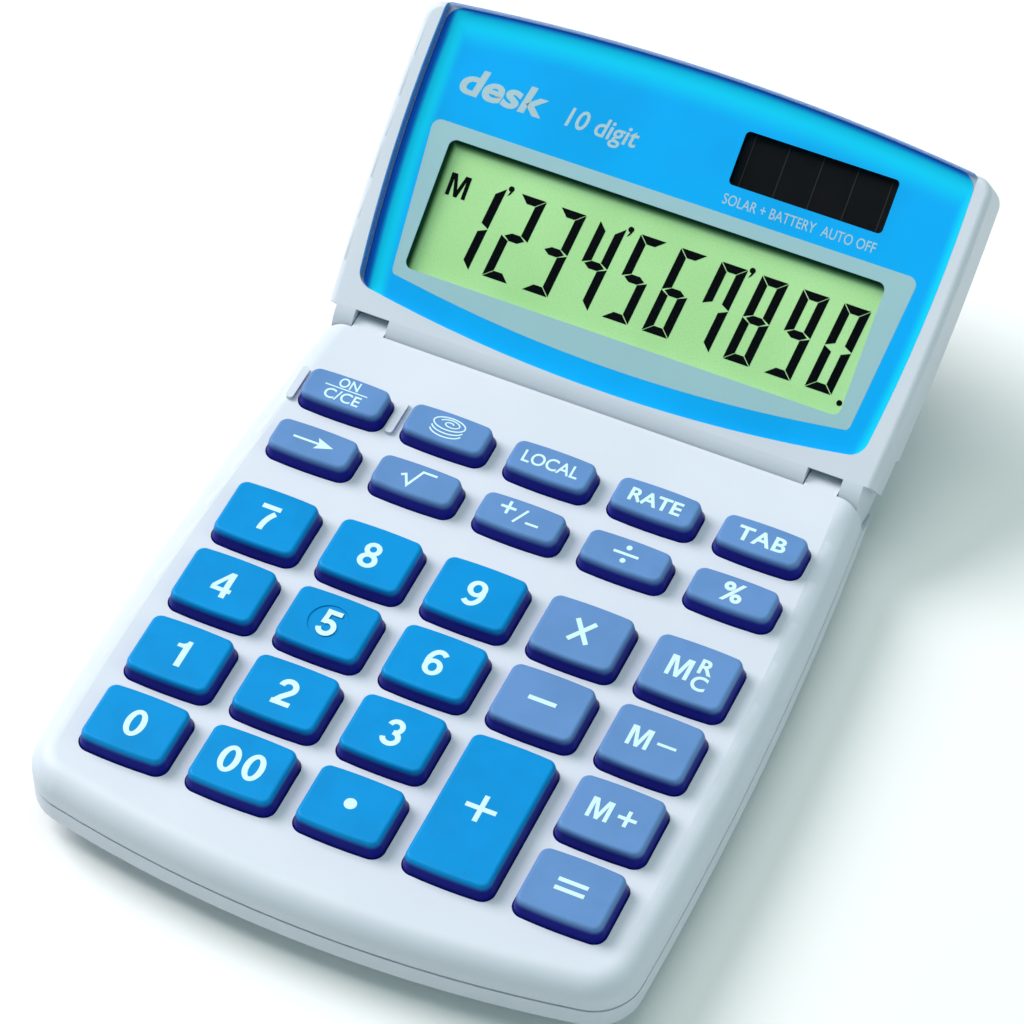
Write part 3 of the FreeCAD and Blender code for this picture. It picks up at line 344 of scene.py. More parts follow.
def brushed(name, light, dark, stretch):
    """Metal with fine drawn lines along X."""
    finish = Finish(name, Metallic=1.0)
    ruler = finish.tree.nodes.new("ShaderNodeMapping")
    ruler.inputs["Scale"].default_value = (1.0, stretch, stretch)
    finish.tree.links.new(finish.place.socket, ruler.inputs["Vector"])
    finish.place = Wire(finish.tree, ruler.outputs["Vector"])
    line = finish.noise(1.2, 3.0)
    finish.set("Base Color", finish.mix(light, dark, line.smooth(0.3, 0.7)))
    return finish.set("Roughness", line * 0.25 + 0.22).relief(line, 0.003).material


def laminate():
    """Green solder resist over copper runs."""
    finish = Finish("board_laminate", Coat_Weight=0.2)
    runs = finish.stripes(1.6, "X").smooth(0.55, 0.65)
    joints = finish.noise(6.0, 1.0).smooth(0.48, 0.52)
    finish.set("Base Color", finish.mix(RESIST_GREEN, RESIST_OVER_COPPER, runs * joints))
    return finish.set("Roughness", finish.noise(2.0) * 0.2 + 0.35).relief(runs * joints, 0.03).material


def flat_cable():
    """Clear film over tinned conductors."""
    finish = Finish("flat_cable")
    wires = finish.stripes(1.0, "X").smooth(0.4, 0.6)
    finish.set("Base Color", finish.mix(FLEX_FILM, TINNED_WIRE, wires))
    return finish.set("Roughness", finish.noise(1.5) * 0.15 + 0.35).relief(wires, 0.05).material


CASE = moulded("case_plastic", CASE_WHITE, CASE_SHADE)
BLUE_KEY = key_plastic_with_painted_shade("blue_key_plastic", KEY_BLUE)
LAVENDER_KEY = key_plastic_with_painted_shade("lavender_key_plastic", KEY_LAVENDER)
LEGEND = moulded("legend_ink", LEGEND_WHITE, LEGEND_SHADE, grain=0.12, depth=0.003)
FILM = lens_print()
SILVER = silver_print("silver_print", SURROUND_SILVER, SILVER_SHADE)
CAPTION = silver_print("caption_print", CAPTION_SILVER, CAPTION_SHADE)
SEGMENT = moulded("segment_ink", SEGMENT_BLACK, SEGMENT_SHADE, grain=0.1, depth=0.002,
                  Specular_IOR_Level=0.05)
GLASS = display_glass()
ACRYLIC = lens_acrylic()
SOLAR = solar_face()
SOLAR_LINE = moulded("solar_line_ink", (0.006, 0.004, 0.005, 1), (0.009, 0.006, 0.007, 1), depth=0.002)
FOOT = moulded("foot_rubber", (0.035, 0.036, 0.04, 1), (0.02, 0.02, 0.022, 1), 0.5, 0.03, (0.7, 0.85))
MAT_RUBBER = moulded("mat_rubber", (0.30, 0.32, 0.34, 1), (0.24, 0.26, 0.28, 1), 0.5, 0.02, (0.6, 0.75))
EPOXY = moulded("chip_epoxy", (0.012, 0.012, 0.012, 1), (0.02, 0.02, 0.02, 1), 1.5, 0.05, (0.18, 0.35))
STEEL = brushed("screw_steel", (0.62, 0.63, 0.66, 1), (0.42, 0.43, 0.46, 1), 9.0)
CAN = brushed("cell_can", (0.72, 0.71, 0.68, 1), (0.5, 0.5, 0.48, 1), 5.0)
CONTACT = brushed("contact_strip", (0.80, 0.68, 0.42, 1), (0.62, 0.5, 0.28, 1), 6.0)
LAMINATE = laminate()
CABLE = flat_cable()

FINISHES = {
    CASE: ("upper_case", "lower_case", "battery_door", "display_front_case", "display_rear_case"),
    ACRYLIC: ("display_lens",),
    GLASS: ("lcd_panel",),
    SOLAR: ("solar_cell",),
    FOOT: ("rubber_feet",),
    MAT_RUBBER: ("rubber_keypad", "zebra_strip"),
    EPOXY: ("board_chip",),
    STEEL: ("case_screws", "board_screws", "display_screws", "hinge_pins"),
    CAN: ("battery_cell",),
    CONTACT: ("battery_contact_minus", "battery_contact_plus"),
    LAMINATE: ("main_board", "display_board"),
    CABLE: ("ribbon_cable_base", "ribbon_cable_head"),
}


def paint(node, material):
    for place in NODES[node].material_slots:
        place.material = material


BLUE_KEYS = [f"key_{name}" for name in ("0", "00", "point", "plus", *"123456789")]
for material, nodes in FINISHES.items():
    for node in nodes:
        paint(node, material)
for node in NODES:
    if node.startswith("key_"):
        paint(node, BLUE_KEY if node in BLUE_KEYS else LAVENDER_KEY)


# Flat shapes, drawn in millimetres.


def arc(x, y, radius, start, end, steps=24):
    """Points on an arc between two angles in degrees."""
    turns = [math.radians(start + (end - start) * step / steps) for step in range(steps + 1)]
    return [(x + radius * math.cos(turn), y + radius * math.sin(turn)) for turn in turns]


def oval(x, y, wide, high, steps=40):
    turns = [math.tau * step / steps for step in range(steps)]
    return [(x + wide / 2 * math.cos(turn), y + high / 2 * math.sin(turn)) for turn in turns]


def stroke(points, thick):
    """An open line of points given a width, as one closed loop."""
    left, right = [], []
    for place, point in enumerate(points):
        here = Vector(point)
        before = Vector(points[max(place - 1, 0)])
        after = Vector(points[min(place + 1, len(points) - 1)])
        away_in = (here - before).normalized() if place else (after - here).normalized()
        away_out = (after - here).normalized() if place < len(points) - 1 else away_in
        along = (away_in + away_out).normalized()
        side = Vector((-along.y, along.x)) * (thick / 2 / max(along.dot(away_in), 0.3))
        left.append(tuple(here + side))
        right.append(tuple(here - side))
    return left + right[::-1]


def bar(x, y, wide, high, turn=0.0):
    corners = ((-wide / 2, -high / 2), (wide / 2, -high / 2), (wide / 2, high / 2), (-wide / 2, high / 2))
    cosine, sine = math.cos(math.radians(turn)), math.sin(math.radians(turn))
    return [(x + a * cosine - b * sine, y + a * sine + b * cosine) for a, b in corners]


def rounded(x, y, wide, high, radius, steps=6):
    """A rectangle with rounded corners."""
    points = []
    for across, along, start in ((1, 1, 0), (-1, 1, 90), (-1, -1, 180), (1, -1, 270)):
        middle = (x + across * (wide / 2 - radius), y + along * (high / 2 - radius))
        points += arc(*middle, radius, start, start + 90, steps)
    return points


WELD = 1e-5
OVERLAP_STEP = 0.04
LETTER_CURVE_STEPS = 5
LETTER_EXTRUDE = 0.02


def as_mesh(curve):
    """The filled and thickened mesh of a curve or of lettering, with its seams closed."""
    holder = bpy.data.objects.new(curve.name, curve)
    bpy.context.scene.collection.objects.link(holder)
    seen = holder.evaluated_get(bpy.context.evaluated_depsgraph_get())
    mesh = bpy.data.meshes.new_from_object(seen)
    bpy.data.objects.remove(holder)
    shape = bmesh.new()
    shape.from_mesh(mesh)
    bmesh.ops.remove_doubles(shape, verts=shape.verts, dist=WELD)
    bmesh.ops.recalc_face_normals(shape, faces=shape.faces)
    shape.to_mesh(mesh)
    shape.free()
    return mesh


def flat(loops, thick=1.0):
    """Closed loops, outer ones and holes, as a plate between 0 and thick."""
    curve = bpy.data.curves.new("flat", "CURVE")
    curve.dimensions = "2D"
    curve.fill_mode = "BOTH"
    curve.extrude = thick / 2
    for loop in loops:
        line = curve.splines.new("POLY")
        line.points.add(len(loop) - 1)
        for point, (x, y) in zip(line.points, loop):
            point.co = (x, y, 0, 1)
        line.use_cyclic_u = True
    mesh = as_mesh(curve)
    mesh.transform(Matrix.Translation((0, 0, thick / 2)))
    return mesh


def lettering(words, high, x=0.0, y=0.0, weight=0.02, wide=None, shear=0.0, spacing=1.0, thick=1.0):
    """Words as a plate, with capitals of that height, centred on (x, y)."""
    curve = bpy.data.curves.new("lettering", "FONT")
    curve.body = words
    curve.offset = weight
    curve.shear = shear
    curve.space_character = spacing
    curve.resolution_u = LETTER_CURVE_STEPS
    curve.extrude = LETTER_EXTRUDE
    mesh = as_mesh(curve)
    low, top = (Vector([pick(v.co[axis] for v in mesh.vertices) for axis in range(3)]) for pick in (min, max))
    scale = high / (top.y - low.y)
    across = wide / (top.x - low.x) if wide else scale
    middle = (low + top) / 2
    mesh.transform(Matrix.Translation((-middle.x, -middle.y, -low.z)))
    mesh.transform(Matrix.Diagonal((across, scale, thick / (top.z - low.z), 1)))
    mesh.transform(Matrix.Translation((x, y, 0)))
    return mesh


def piece(name, meshes, material, body, place, thick=None):
    """One object from meshes in millimetres, put in place in the row frame, riding on a body."""
    shape = bmesh.new()
    for order, mesh in enumerate(meshes):
        # Where two shapes of one print cross, the later one lies a hair higher.
        mesh.transform(Matrix.Diagonal((1, 1, 1 + OVERLAP_STEP * order, 1)))
        shape.from_mesh(mesh)
    whole = bpy.data.meshes.new(name)
    shape.to_mesh(whole)
    shape.free()
    if thick:
        whole.transform(Matrix.Diagonal((1, 1, thick, 1)))
    whole.transform(Matrix.Diagonal((MM, MM, MM, 1)))
    whole.transform(place)
    whole.materials.clear()
    whole.materials.append(material)
    thing = bpy.data.objects.new(name, whole)
    bpy.context.scene.collection.objects.link(thing)
    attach(thing, body)
    return thing


def on_head(x, y, z):
    return HEAD @ Matrix.Translation(Vector((x, y, z)) * MM)


# Key legends.

DIGIT_HIGH = 5.1
DIGIT_SIDE = 0.1
DIGIT_DROP = -0.15
HEAVY = 0.026
MEDIUM = 0.014
LIGHT = 0.004


def plus(x, y, size, thick):
    """A plus sign as one loop."""
    arm, half = size / 2, thick / 2
    quarter = [(half, arm), (half, half), (arm, half)]
    loop = []
    for turn in range(4):
        cosine, sine = ((1, 0), (0, -1), (-1, 0), (0, 1))[turn]
        loop += [(x + a * cosine - b * sine, y + a * sine + b * cosine) for a, b in quarter]
    return flat([loop])


def ring(x, y, outer, inner):
    """A closed ring between two ovals, given as (wide, high)."""
    return [oval(x, y, *outer), oval(x, y, *inner)]


def bend(x, y, wide, high, start, end, steps=22):
    """Points on part of an oval of that half width and half height."""
    turns = [math.radians(start + (end - start) * step / steps) for step in range(steps + 1)]
    return [(x + wide * math.cos(turn), y + high * math.sin(turn)) for turn in turns]


# Bold figures one unit high, each a list of shapes, and each shape a list of loops
STEM = 0.185
SIX_BOWL = ring(0.335, 0.315, (0.63, 0.63), (0.27, 0.33))
SIX_NECK = [stroke(bend(0.385, 0.5, 0.29, 0.415, 195, 48), 0.17)]
GLYPHS = {
    "0": [ring(0.335, 0.5, (0.65, 1.0), (0.27, 0.68))],
    "1": [[[(0.33, 0), (0.53, 0), (0.53, 1), (0.39, 1), (0.36, 0.91), (0.28, 0.845), (0.12, 0.825),
            (0.12, 0.70), (0.33, 0.70)]]],
    "2": [[stroke(bend(0.335, 0.69, 0.225, 0.225, 178, -38) + [(0.27, 0.30), (0.155, 0.12)], STEM)],
          [bar(0.335, 0.085, 0.61, 0.17)]],
    "3": [[stroke(bend(0.32, 0.715, 0.2, 0.205, 170, -90), 0.165)],
          [stroke(bend(0.32, 0.3, 0.235, 0.215, 92, -172), 0.17)]],
    "4": [[[(0.40, 0), (0.585, 0), (0.585, 0.22), (0.68, 0.22), (0.68, 0.37), (0.585, 0.37), (0.585, 1),
            (0.41, 1), (0.02, 0.40), (0.02, 0.22), (0.40, 0.22)],
           [(0.40, 0.37), (0.40, 0.74), (0.17, 0.37)]]],
    "5": [[bar(0.36, 0.915, 0.50, 0.17)], [stroke([(0.205, 0.94), (0.165, 0.45)], 0.155)],
          [stroke(bend(0.325, 0.325, 0.23, 0.24, 132, -168), 0.175)]],
    "6": [SIX_BOWL, SIX_NECK],
    "7": [[bar(0.335, 0.915, 0.62, 0.17)], [stroke(bend(0.92, 0.04, 0.60, 0.86, 128, 182), STEM)]],
    "8": [ring(0.335, 0.735, (0.55, 0.53), (0.22, 0.23)), ring(0.335, 0.29, (0.64, 0.58), (0.28, 0.27))],
    "9": [[[(0.67 - x, 1 - y) for x, y in loop] for loop in shape] for shape in (SIX_BOWL, SIX_NECK)],
    "M": [[[(0, 0), (0, 1), (0.27, 1), (0.46, 0.33), (0.65, 1), (0.92, 1), (0.92, 0), (0.745, 0),
            (0.745, 0.76), (0.54, 0), (0.38, 0), (0.175, 0.76), (0.175, 0)]]],
}


def figure(name, high, x=0.0, y=0.0):
    """A bold figure of that height, centred on (x, y)."""
    shapes = GLYPHS[name]
    across = [point[0] for shape in shapes for loop in shape for point in loop]
    middle = (min(across) + max(across)) / 2
    return [flat([[(x + (a - middle) * high, y + (b - 0.5) * high) for a, b in loop] for loop in shape])
            for shape in shapes]


def coins():
    """A stack of coins, as three ovals with a swirl on the top one."""
    wide, high, top, line = 2.7, 1.25, 0.75, 0.24
    lines = []
    for up, start, end in ((top, 0, 360), (0.0, 190, 350), (-top, 190, 350)):
        path = bend(0, up, wide, high, start, end, (end - start) // 10)
        lines.append(flat([stroke(path, line)]))
    swirl = []
    for turn in range(0, 521, 20):
        grow = 0.3 + turn / 420
        angle = math.radians(turn)
        swirl.append((0.25 + grow * math.cos(angle) * 1.25, top + grow * math.sin(angle) * 0.62))
    lines.append(flat([stroke(swirl, 0.22)]))
    return lines


def key_legends():
    """The meshes of each key's legend, centred on its top."""
    shapes = {digit: figure(digit, DIGIT_HIGH, DIGIT_SIDE, DIGIT_DROP) for digit in "0123456789"}
    shapes["00"] = [mesh for x in (-2.05, 2.05) for mesh in figure("0", DIGIT_HIGH, x, DIGIT_DROP)]
    shapes["point"] = [flat([oval(0, 0, 2.0, 2.0)])]
    shapes["plus"] = [plus(0, 0, 5.0, 0.82)]
    shapes["minus"] = [flat([bar(0, 0, 4.6, 0.78)])]
    shapes["times"] = [flat([bar(0, 0, 0.8, 5.3, turn)]) for turn in (-36, 36)]
    shapes["equals"] = [flat([bar(0, y, 4.8, 0.72)]) for y in (0.8, -0.8)]
    shapes["memory_plus"] = [*figure("M", 3.8, -1.9), plus(2.5, 0, 3.0, 0.62)]
    shapes["memory_minus"] = [*figure("M", 3.8, -1.9), flat([bar(2.5, 0, 3.1, 0.5)])]
    shapes["memory_recall"] = [*figure("M", 4.0, -1.7), lettering("R", 2.85, 2.15, 1.55, weight=HEAVY),
                               lettering("C", 2.85, 2.15, -1.7, weight=HEAVY)]
    shapes["on_clear"] = [lettering("ON", 1.95, 0, 1.55, MEDIUM, wide=3.5), flat([bar(0, 0.3, 7.4, 0.22)]),
                          lettering("C/CE", 2.1, 0, -1.25, MEDIUM)]
    shapes["currency"] = coins()
    shapes["local"] = [lettering("LOCAL", 2.5, weight=MEDIUM, wide=9.6)]
    shapes["rate"] = [lettering("RATE", 2.7, weight=HEAVY, wide=8.8)]
    shapes["tab"] = [lettering("TAB", 2.9, weight=HEAVY, spacing=1.1, wide=8.2)]
    shapes["arrow"] = [flat([[(-3.5, 0.2), (0.9, 0.2), (0.45, 1.15), (3.5, 0), (0.45, -1.15), (0.9, -0.2),
                              (-3.5, -0.2)]])]
    shapes["root"] = [flat([stroke([(-2.6, -0.1), (-1.9, 0.3), (-0.9, -1.7), (0.5, 1.7), (2.9, 1.7)], 0.42)])]
    shapes["sign"] = [plus(-2.4, 0.9, 2.6, 0.5), flat([stroke([(-0.75, -1.5), (0.75, 1.5)], 0.42)]),
                      flat([bar(2.3, -0.9, 2.2, 0.42)])]
    shapes["divide"] = [flat([bar(0, 0, 4.2, 0.5)]), flat([oval(0, 1.35, 0.95, 0.95)]),
                        flat([oval(0, -1.35, 0.95, 0.95)])]
    shapes["percent"] = [lettering("%", 3.9, weight=HEAVY)]
    return shapes


LEGEND_THICK = 0.04
LEGEND_SUNK = 0.015
for name, meshes in key_legends().items():
    low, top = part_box(f"key_{name}")
    middle = Vector(((low[0] + top[0]) / 2, (low[1] + top[1]) / 2, top[2] - LEGEND_SUNK * MM))
    piece(f"legend_{name}", meshes, LEGEND, f"key_{name}", Matrix.Translation(middle), LEGEND_THICK)


# What is printed behind the lens.


def crossing(first, second, near):
    """Where two circles (x, y, radius) cross, closest to a point."""
    (ax, ay, ar), (bx, by, br) = first, second
    gap = math.hypot(bx - ax, by - ay)
    along = (ar * ar - br * br + gap * gap) / (2 * gap)
    across = math.sqrt(max(ar * ar - along * along, 0.0))
    foot = (ax + along * (bx - ax) / gap, ay + along * (by - ay) / gap)
    both = [(foot[0] + side * across * (by - ay) / gap, foot[1] - side * across * (bx - ax) / gap)
            for side in (-1, 1)]
    return min(both, key=lambda point: math.hypot(point[0] - near[0], point[1] - near[1]))


def bowed(circles, corners, radius, steps=40):
    """A loop of arcs, one on each circle in turn, with its corners cut by a radius."""
    points = []
    ends = []
    for place, circle in enumerate(circles):
        following = circles[(place + 1) % len(circles)]
        ends.append(crossing(circle, following, corners[place]))
    for place, (x, y, reach) in enumerate(circles):
        start, end = ends[place - 1], ends[place]
        first = math.atan2(start[1] - y, start[0] - x)
        last = math.atan2(end[1] - y, end[0] - x)
        sweep = (last - first + math.pi) % math.tau - math.pi
        trim = radius / reach * (1 if sweep > 0 else -1)
        first, sweep = first + trim, sweep - 2 * trim
        points += [(x + reach * math.cos(first + sweep * step / steps),
                    y + reach * math.sin(first + sweep * step / steps)) for step in range(steps + 1)]
    return soften(points, radius)


def soften(points, radius):
    """Fill each gap between two arcs with a curve that leaves along both."""
    loop = []
    count = len(points)
    for place, point in enumerate(points):
        following = points[(place + 1) % count]
        loop.append(point)
        if math.hypot(following[0] - point[0], following[1] - point[1]) < radius * 1.1:
            continue
        before, after = points[place - 1], points[(place + 2) % count]
        start, end = Vector(point), Vector(following)
        away = (start - Vector(before)).normalized()
        back = (end - Vector(after)).normalized()
        reach = (end - start).length * 0.39
        first, second = start + away * reach, end + back * reach
        for step in range(1, 8):
            part = step / 8
            rest = 1 - part
            loop.append(tuple(start * rest ** 3 + first * (3 * rest * rest * part)
                              + second * (3 * rest * part * part) + end * part ** 3))
    return loop


def lens_loop(inset):
    half, widest, side = LENS_SIDE
    low = (0.0, LENS_LOW[2] - LENS_LOW[1], LENS_LOW[2] - inset)
    right = (half - side, widest, side - inset)
    top = (0.0, LENS_TOP[1] - LENS_TOP[2], LENS_TOP[2] - inset)
    left = (side - half, widest, side - inset)
    corners = [(half, 3), (half, 52), (-half, 52), (-half, 3)]
    return bowed([low, right, top, left], corners, LENS_CORNER - inset)


def surround_loop():
    """The silver field round the window: straight above, leaning sides and a bowed lower edge."""
    middle, top, low, half_top, half_low, sag = 0.35, 33.9, 7.7, 42.35, 40.2, 3.2
    corner, corner_in, low_lift, low_trim = 1.5, 1.6, 1.0, 1.2
    radius = (half_low ** 2 + sag ** 2) / (2 * sag)
    reach = math.degrees(math.asin(half_low / radius)) - low_trim
    bottom = arc(middle, low - sag + radius, radius, 270 - reach, 270 + reach)
    lean = math.degrees(math.atan2(half_top - half_low, top - low))
    right_low = arc(middle + half_low - corner_in, low + low_lift, corner, -50, -lean, 5)
    right_top = arc(middle + half_top - corner_in, top - corner, corner, -lean, 90, 6)
    left_top = arc(middle - half_top + corner_in, top - corner, corner, 90, 180 + lean, 6)
    left_low = arc(middle - half_low + corner_in, low + low_lift, corner, 180 + lean, 230, 5)
    return bottom + right_low + right_top + left_top + left_low


FILM_LEVEL = LENS_BACK - FILM_THICK
FILM_TOP = FILM_THICK - FILM_SHY
film = piece("printed_film", [flat([lens_loop(FILM_INSET), rounded(*WINDOW), rounded(*SOLAR_WINDOW)])], FILM,
             "display_head", on_head(0, 0, FILM_LEVEL), FILM_TOP)
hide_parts("lens_backing")
print_place = on_head(0, 0, FILM_LEVEL + FILM_TOP - PRINT_SUNK)
piece("window_surround", [flat([surround_loop(), rounded(*WINDOW)])], SILVER, "display_head", print_place,
      PRINT_THICK)
piece("film_lettering", [
    lettering("SOLAR + BATTERY  AUTO OFF", 1.75, 21.3, 36.3, LIGHT, wide=26.2),
    lettering("desk", 4.7, -32.2, 41.3, 0.03, wide=15.2, shear=0.18),
    lettering("10 digit", 4.3, -14.6, 40.4, MEDIUM, wide=12.6, shear=0.18),
], CAPTION, "display_head", print_place, PRINT_THICK)


# The display's digits, one point each, which the tree gives its lit segments.


def tree_input(tree, name, kind="NodeSocketFloat"):
    return tree.interface.new_socket(name, in_out="INPUT", socket_type=kind).identifier


def vector(tree, x, y, z=0.0):
    node = tree.nodes.new("ShaderNodeCombineXYZ")
    for place, item in enumerate((x, y, z)):
        feed(tree, item, node.inputs[place])
    return Wire(tree, node.outputs[0])


def add_node(tree, kind, **inputs):
    node = tree.nodes.new(kind)
    for name, item in inputs.items():
        feed(tree, item, node.inputs[name.replace("_", " ")])
    return node


TREE_WELD = 1e-4


def thick_plate(tree, outline_wire, thickness):
    """A filled outline with a thickness, closed underneath."""
    fill = add_node(tree, "GeometryNodeFillCurve", Curve=outline_wire)
    face = Wire(tree, fill.outputs["Mesh"])
    raised = add_node(tree, "GeometryNodeExtrudeMesh", Mesh=face, Offset_Scale=thickness)
    under = add_node(tree, "GeometryNodeFlipFaces", Mesh=face)
    both = tree.nodes.new("GeometryNodeJoinGeometry")
    tree.links.new(raised.outputs["Mesh"], both.inputs[0])
    tree.links.new(under.outputs["Mesh"], both.inputs[0])
    merged = add_node(tree, "GeometryNodeMergeByDistance", Geometry=Wire(tree, both.outputs[0]),
                      Distance=TREE_WELD)
    return Wire(tree, merged.outputs[0])


def finish_tree(tree, wire, material):
    """Realize the instances, set the material and end the tree."""
    real = add_node(tree, "GeometryNodeRealizeInstances", Geometry=wire)
    painted = add_node(tree, "GeometryNodeSetMaterial", Geometry=Wire(tree, real.outputs[0]),
                       Material=material)
    tree.links.new(painted.outputs[0], tree.nodes.new("NodeGroupOutput").inputs[0])


def new_tree(name, inputs):
    """A tree with a geometry input, named sizes and a geometry output."""
    tree = bpy.data.node_groups.new(name, "GeometryNodeTree")
    tree_input(tree, "Geometry", "NodeSocketGeometry")
    keys = {label: tree_input(tree, label, kind) for label, kind in inputs.items()}
    tree.interface.new_socket("Geometry", in_out="OUTPUT", socket_type="NodeSocketGeometry")
    source = tree.nodes.new("NodeGroupInput")
    wires = {label: Wire(tree, source.outputs[label]) for label in ("Geometry", *inputs)}
    return tree, keys, wires


def digit_tree():
    """Seven mitred segments round each point. The point's lit number says which of them show."""
    labels = ("Digit Width", "Digit Height", "Stroke", "Gap", "Thickness", "Slant")
    sizes = dict.fromkeys(labels, "NodeSocketFloat")
    tree, keys, wire = new_tree("display digits", {**sizes, "Ink": "NodeSocketMaterial"})
    half, tall = wire["Digit Width"] / 2.0, wire["Digit Height"] / 2.0
    thick, gap = wire["Stroke"], wire["Gap"]
    inner, core = half - thick, tall - thick * 0.9
    waist, tip = thick * 0.46, thick * 0.3 + gap
    segments = [
        [(-half + gap, tall), (half - gap, tall), (inner - gap, core), (-inner + gap, core)],
        [(half, tall - gap), (half, gap * 0.5), (inner, waist + gap * 0.7), (inner, core - gap)],
        [(half, -(gap * 0.5)), (half, -tall + gap), (inner, -core + gap), (inner, -waist - gap * 0.7)],
        [(-half + gap, -tall), (half - gap, -tall), (inner - gap, -core), (-inner + gap, -core)],
        [(-half, -(gap * 0.5)), (-half, -tall + gap), (-inner, -core + gap), (-inner, -waist - gap * 0.7)],
        [(-half, tall - gap), (-half, gap * 0.5), (-inner, waist + gap * 0.7), (-inner, core - gap)],
        [(-half + tip, 0.0), (-inner + gap, waist), (inner - gap, waist), (half - tip, 0.0)],
        [(-half + tip, 0.0), (-inner + gap, -waist), (inner - gap, -waist), (half - tip, 0.0)],
    ]
    lit = tree.nodes.new("GeometryNodeInputNamedAttribute")
    lit.data_type = "INT"
    lit.inputs["Name"].default_value = "lit"
    everything = tree.nodes.new("GeometryNodeJoinGeometry")
    for number, corners in enumerate(segments):
        outline = tree.nodes.new("GeometryNodeCurvePrimitiveQuadrilateral")
        outline.mode = "POINTS"
        for place, (x, y) in enumerate(corners, 1):
            feed(tree, vector(tree, x, y), outline.inputs[f"Point {place}"])
        plate = thick_plate(tree, Wire(tree, outline.outputs[0]), wire["Thickness"])
        shifted = Wire(tree, lit.outputs["Attribute"]) / float(2 ** min(number, 6))
        shown = shifted.sum("FLOOR").sum("MODULO", 2.0)
        placed = add_node(tree, "GeometryNodeInstanceOnPoints", Points=wire["Geometry"], Selection=shown,
                          Instance=plate)
        tree.links.new(placed.outputs[0], everything.inputs[0])
    real = add_node(tree, "GeometryNodeRealizeInstances", Geometry=Wire(tree, everything.outputs[0]))
    place = tree.nodes.new("GeometryNodeInputPosition")
    parts = tree.nodes.new("ShaderNodeSeparateXYZ")
    tree.links.new(place.outputs[0], parts.inputs[0])
    shift = Wire(tree, parts.outputs[1]) * wire["Slant"].sum("TANGENT")
    slanted = add_node(tree, "GeometryNodeSetPosition", Geometry=Wire(tree, real.outputs[0]),
                       Offset=vector(tree, shift, 0.0))
    finish_tree(tree, Wire(tree, slanted.outputs[0]), wire["Ink"])
    return tree, keys


def row_tree():
    """Thin bars in a row, centred on the origin."""
    sizes = dict.fromkeys(("Pitch", "Bar Width", "Bar Length", "Thickness"), "NodeSocketFloat")
    inputs = {"Count": "NodeSocketInt", **sizes, "Ink": "NodeSocketMaterial"}
    tree, keys, wire = new_tree("row of bars", inputs)
    start = (wire["Count"] - 1.0) * wire["Pitch"] * -0.5
    line = add_node(tree, "GeometryNodeMeshLine", Count=wire["Count"],
                    Start_Location=vector(tree, start, 0.0), Offset=vector(tree, wire["Pitch"], 0.0))
    outline = add_node(tree, "GeometryNodeCurvePrimitiveQuadrilateral", Width=wire["Bar Width"],
                       Height=wire["Bar Length"])
    plate = thick_plate(tree, Wire(tree, outline.outputs[0]), wire["Thickness"])
    placed = add_node(tree, "GeometryNodeInstanceOnPoints", Points=Wire(tree, line.outputs[0]),
                      Instance=plate)
    finish_tree(tree, Wire(tree, placed.outputs[0]), wire["Ink"])
    return tree, keys


def grown(tree, keys, points, values, lit=None):
    """The mesh that a tree makes from points and its named sizes."""
    seed = bpy.data.meshes.new("points")
    seed.from_pydata(points, [], [])
    if lit:
        seed.attributes.new("lit", "INT", "POINT").data.foreach_set("value", lit)
    holder = bpy.data.objects.new("points", seed)
    bpy.context.scene.collection.objects.link(holder)
    modifier = holder.modifiers.new("tree", "NODES")
    modifier.node_group = tree
    for label, item in values.items():
        modifier[keys[label]] = item
    seen = holder.evaluated_get(bpy.context.evaluated_depsgraph_get())
    mesh = bpy.data.meshes.new_from_object(seen)
    bpy.data.objects.remove(holder)
    return mesh


# Lit segments, from the top one clockwise, then the middle one
LIT = {"1": (1, 2), "2": (0, 1, 3, 4, 6), "3": (0, 1, 2, 3, 6), "4": (1, 2, 5, 6), "5": (0, 2, 3, 5, 6),
       "6": (0, 2, 3, 4, 5, 6), "7": (0, 1, 2, 5), "8": (0, 1, 2, 3, 4, 5, 6), "9": (0, 1, 2, 3, 5, 6),
       "0": (0, 1, 2, 3, 4, 5)}
SHOWN = "1234567890"
DIGIT_PITCH = 7.06
LAST_DIGIT = 33.9
DIGIT_UP = 19.45
SEGMENTS_WIDE = 4.55
SEGMENTS_HIGH = 14.6
SEGMENT_STROKE = 1.45
SEGMENT_GAP = 0.1
DIGIT_SLANT = math.radians(6.0)
INK_LEVEL = GLASS_FRONT + INK_PROUD
tree, keys = digit_tree()
digit_points = [(LAST_DIGIT - DIGIT_PITCH * (len(SHOWN) - 1 - place), 0, 0) for place in range(len(SHOWN))]
digits = grown(tree, keys, digit_points, {
    "Digit Width": SEGMENTS_WIDE, "Digit Height": SEGMENTS_HIGH, "Stroke": SEGMENT_STROKE,
    "Gap": SEGMENT_GAP, "Thickness": 1.0, "Slant": DIGIT_SLANT, "Ink": SEGMENT,
}, [sum(2 ** part for part in LIT[digit]) for digit in SHOWN])
piece("display_digits", [digits], SEGMENT, "display_head", on_head(0, DIGIT_UP, INK_LEVEL), PRINT_THICK)

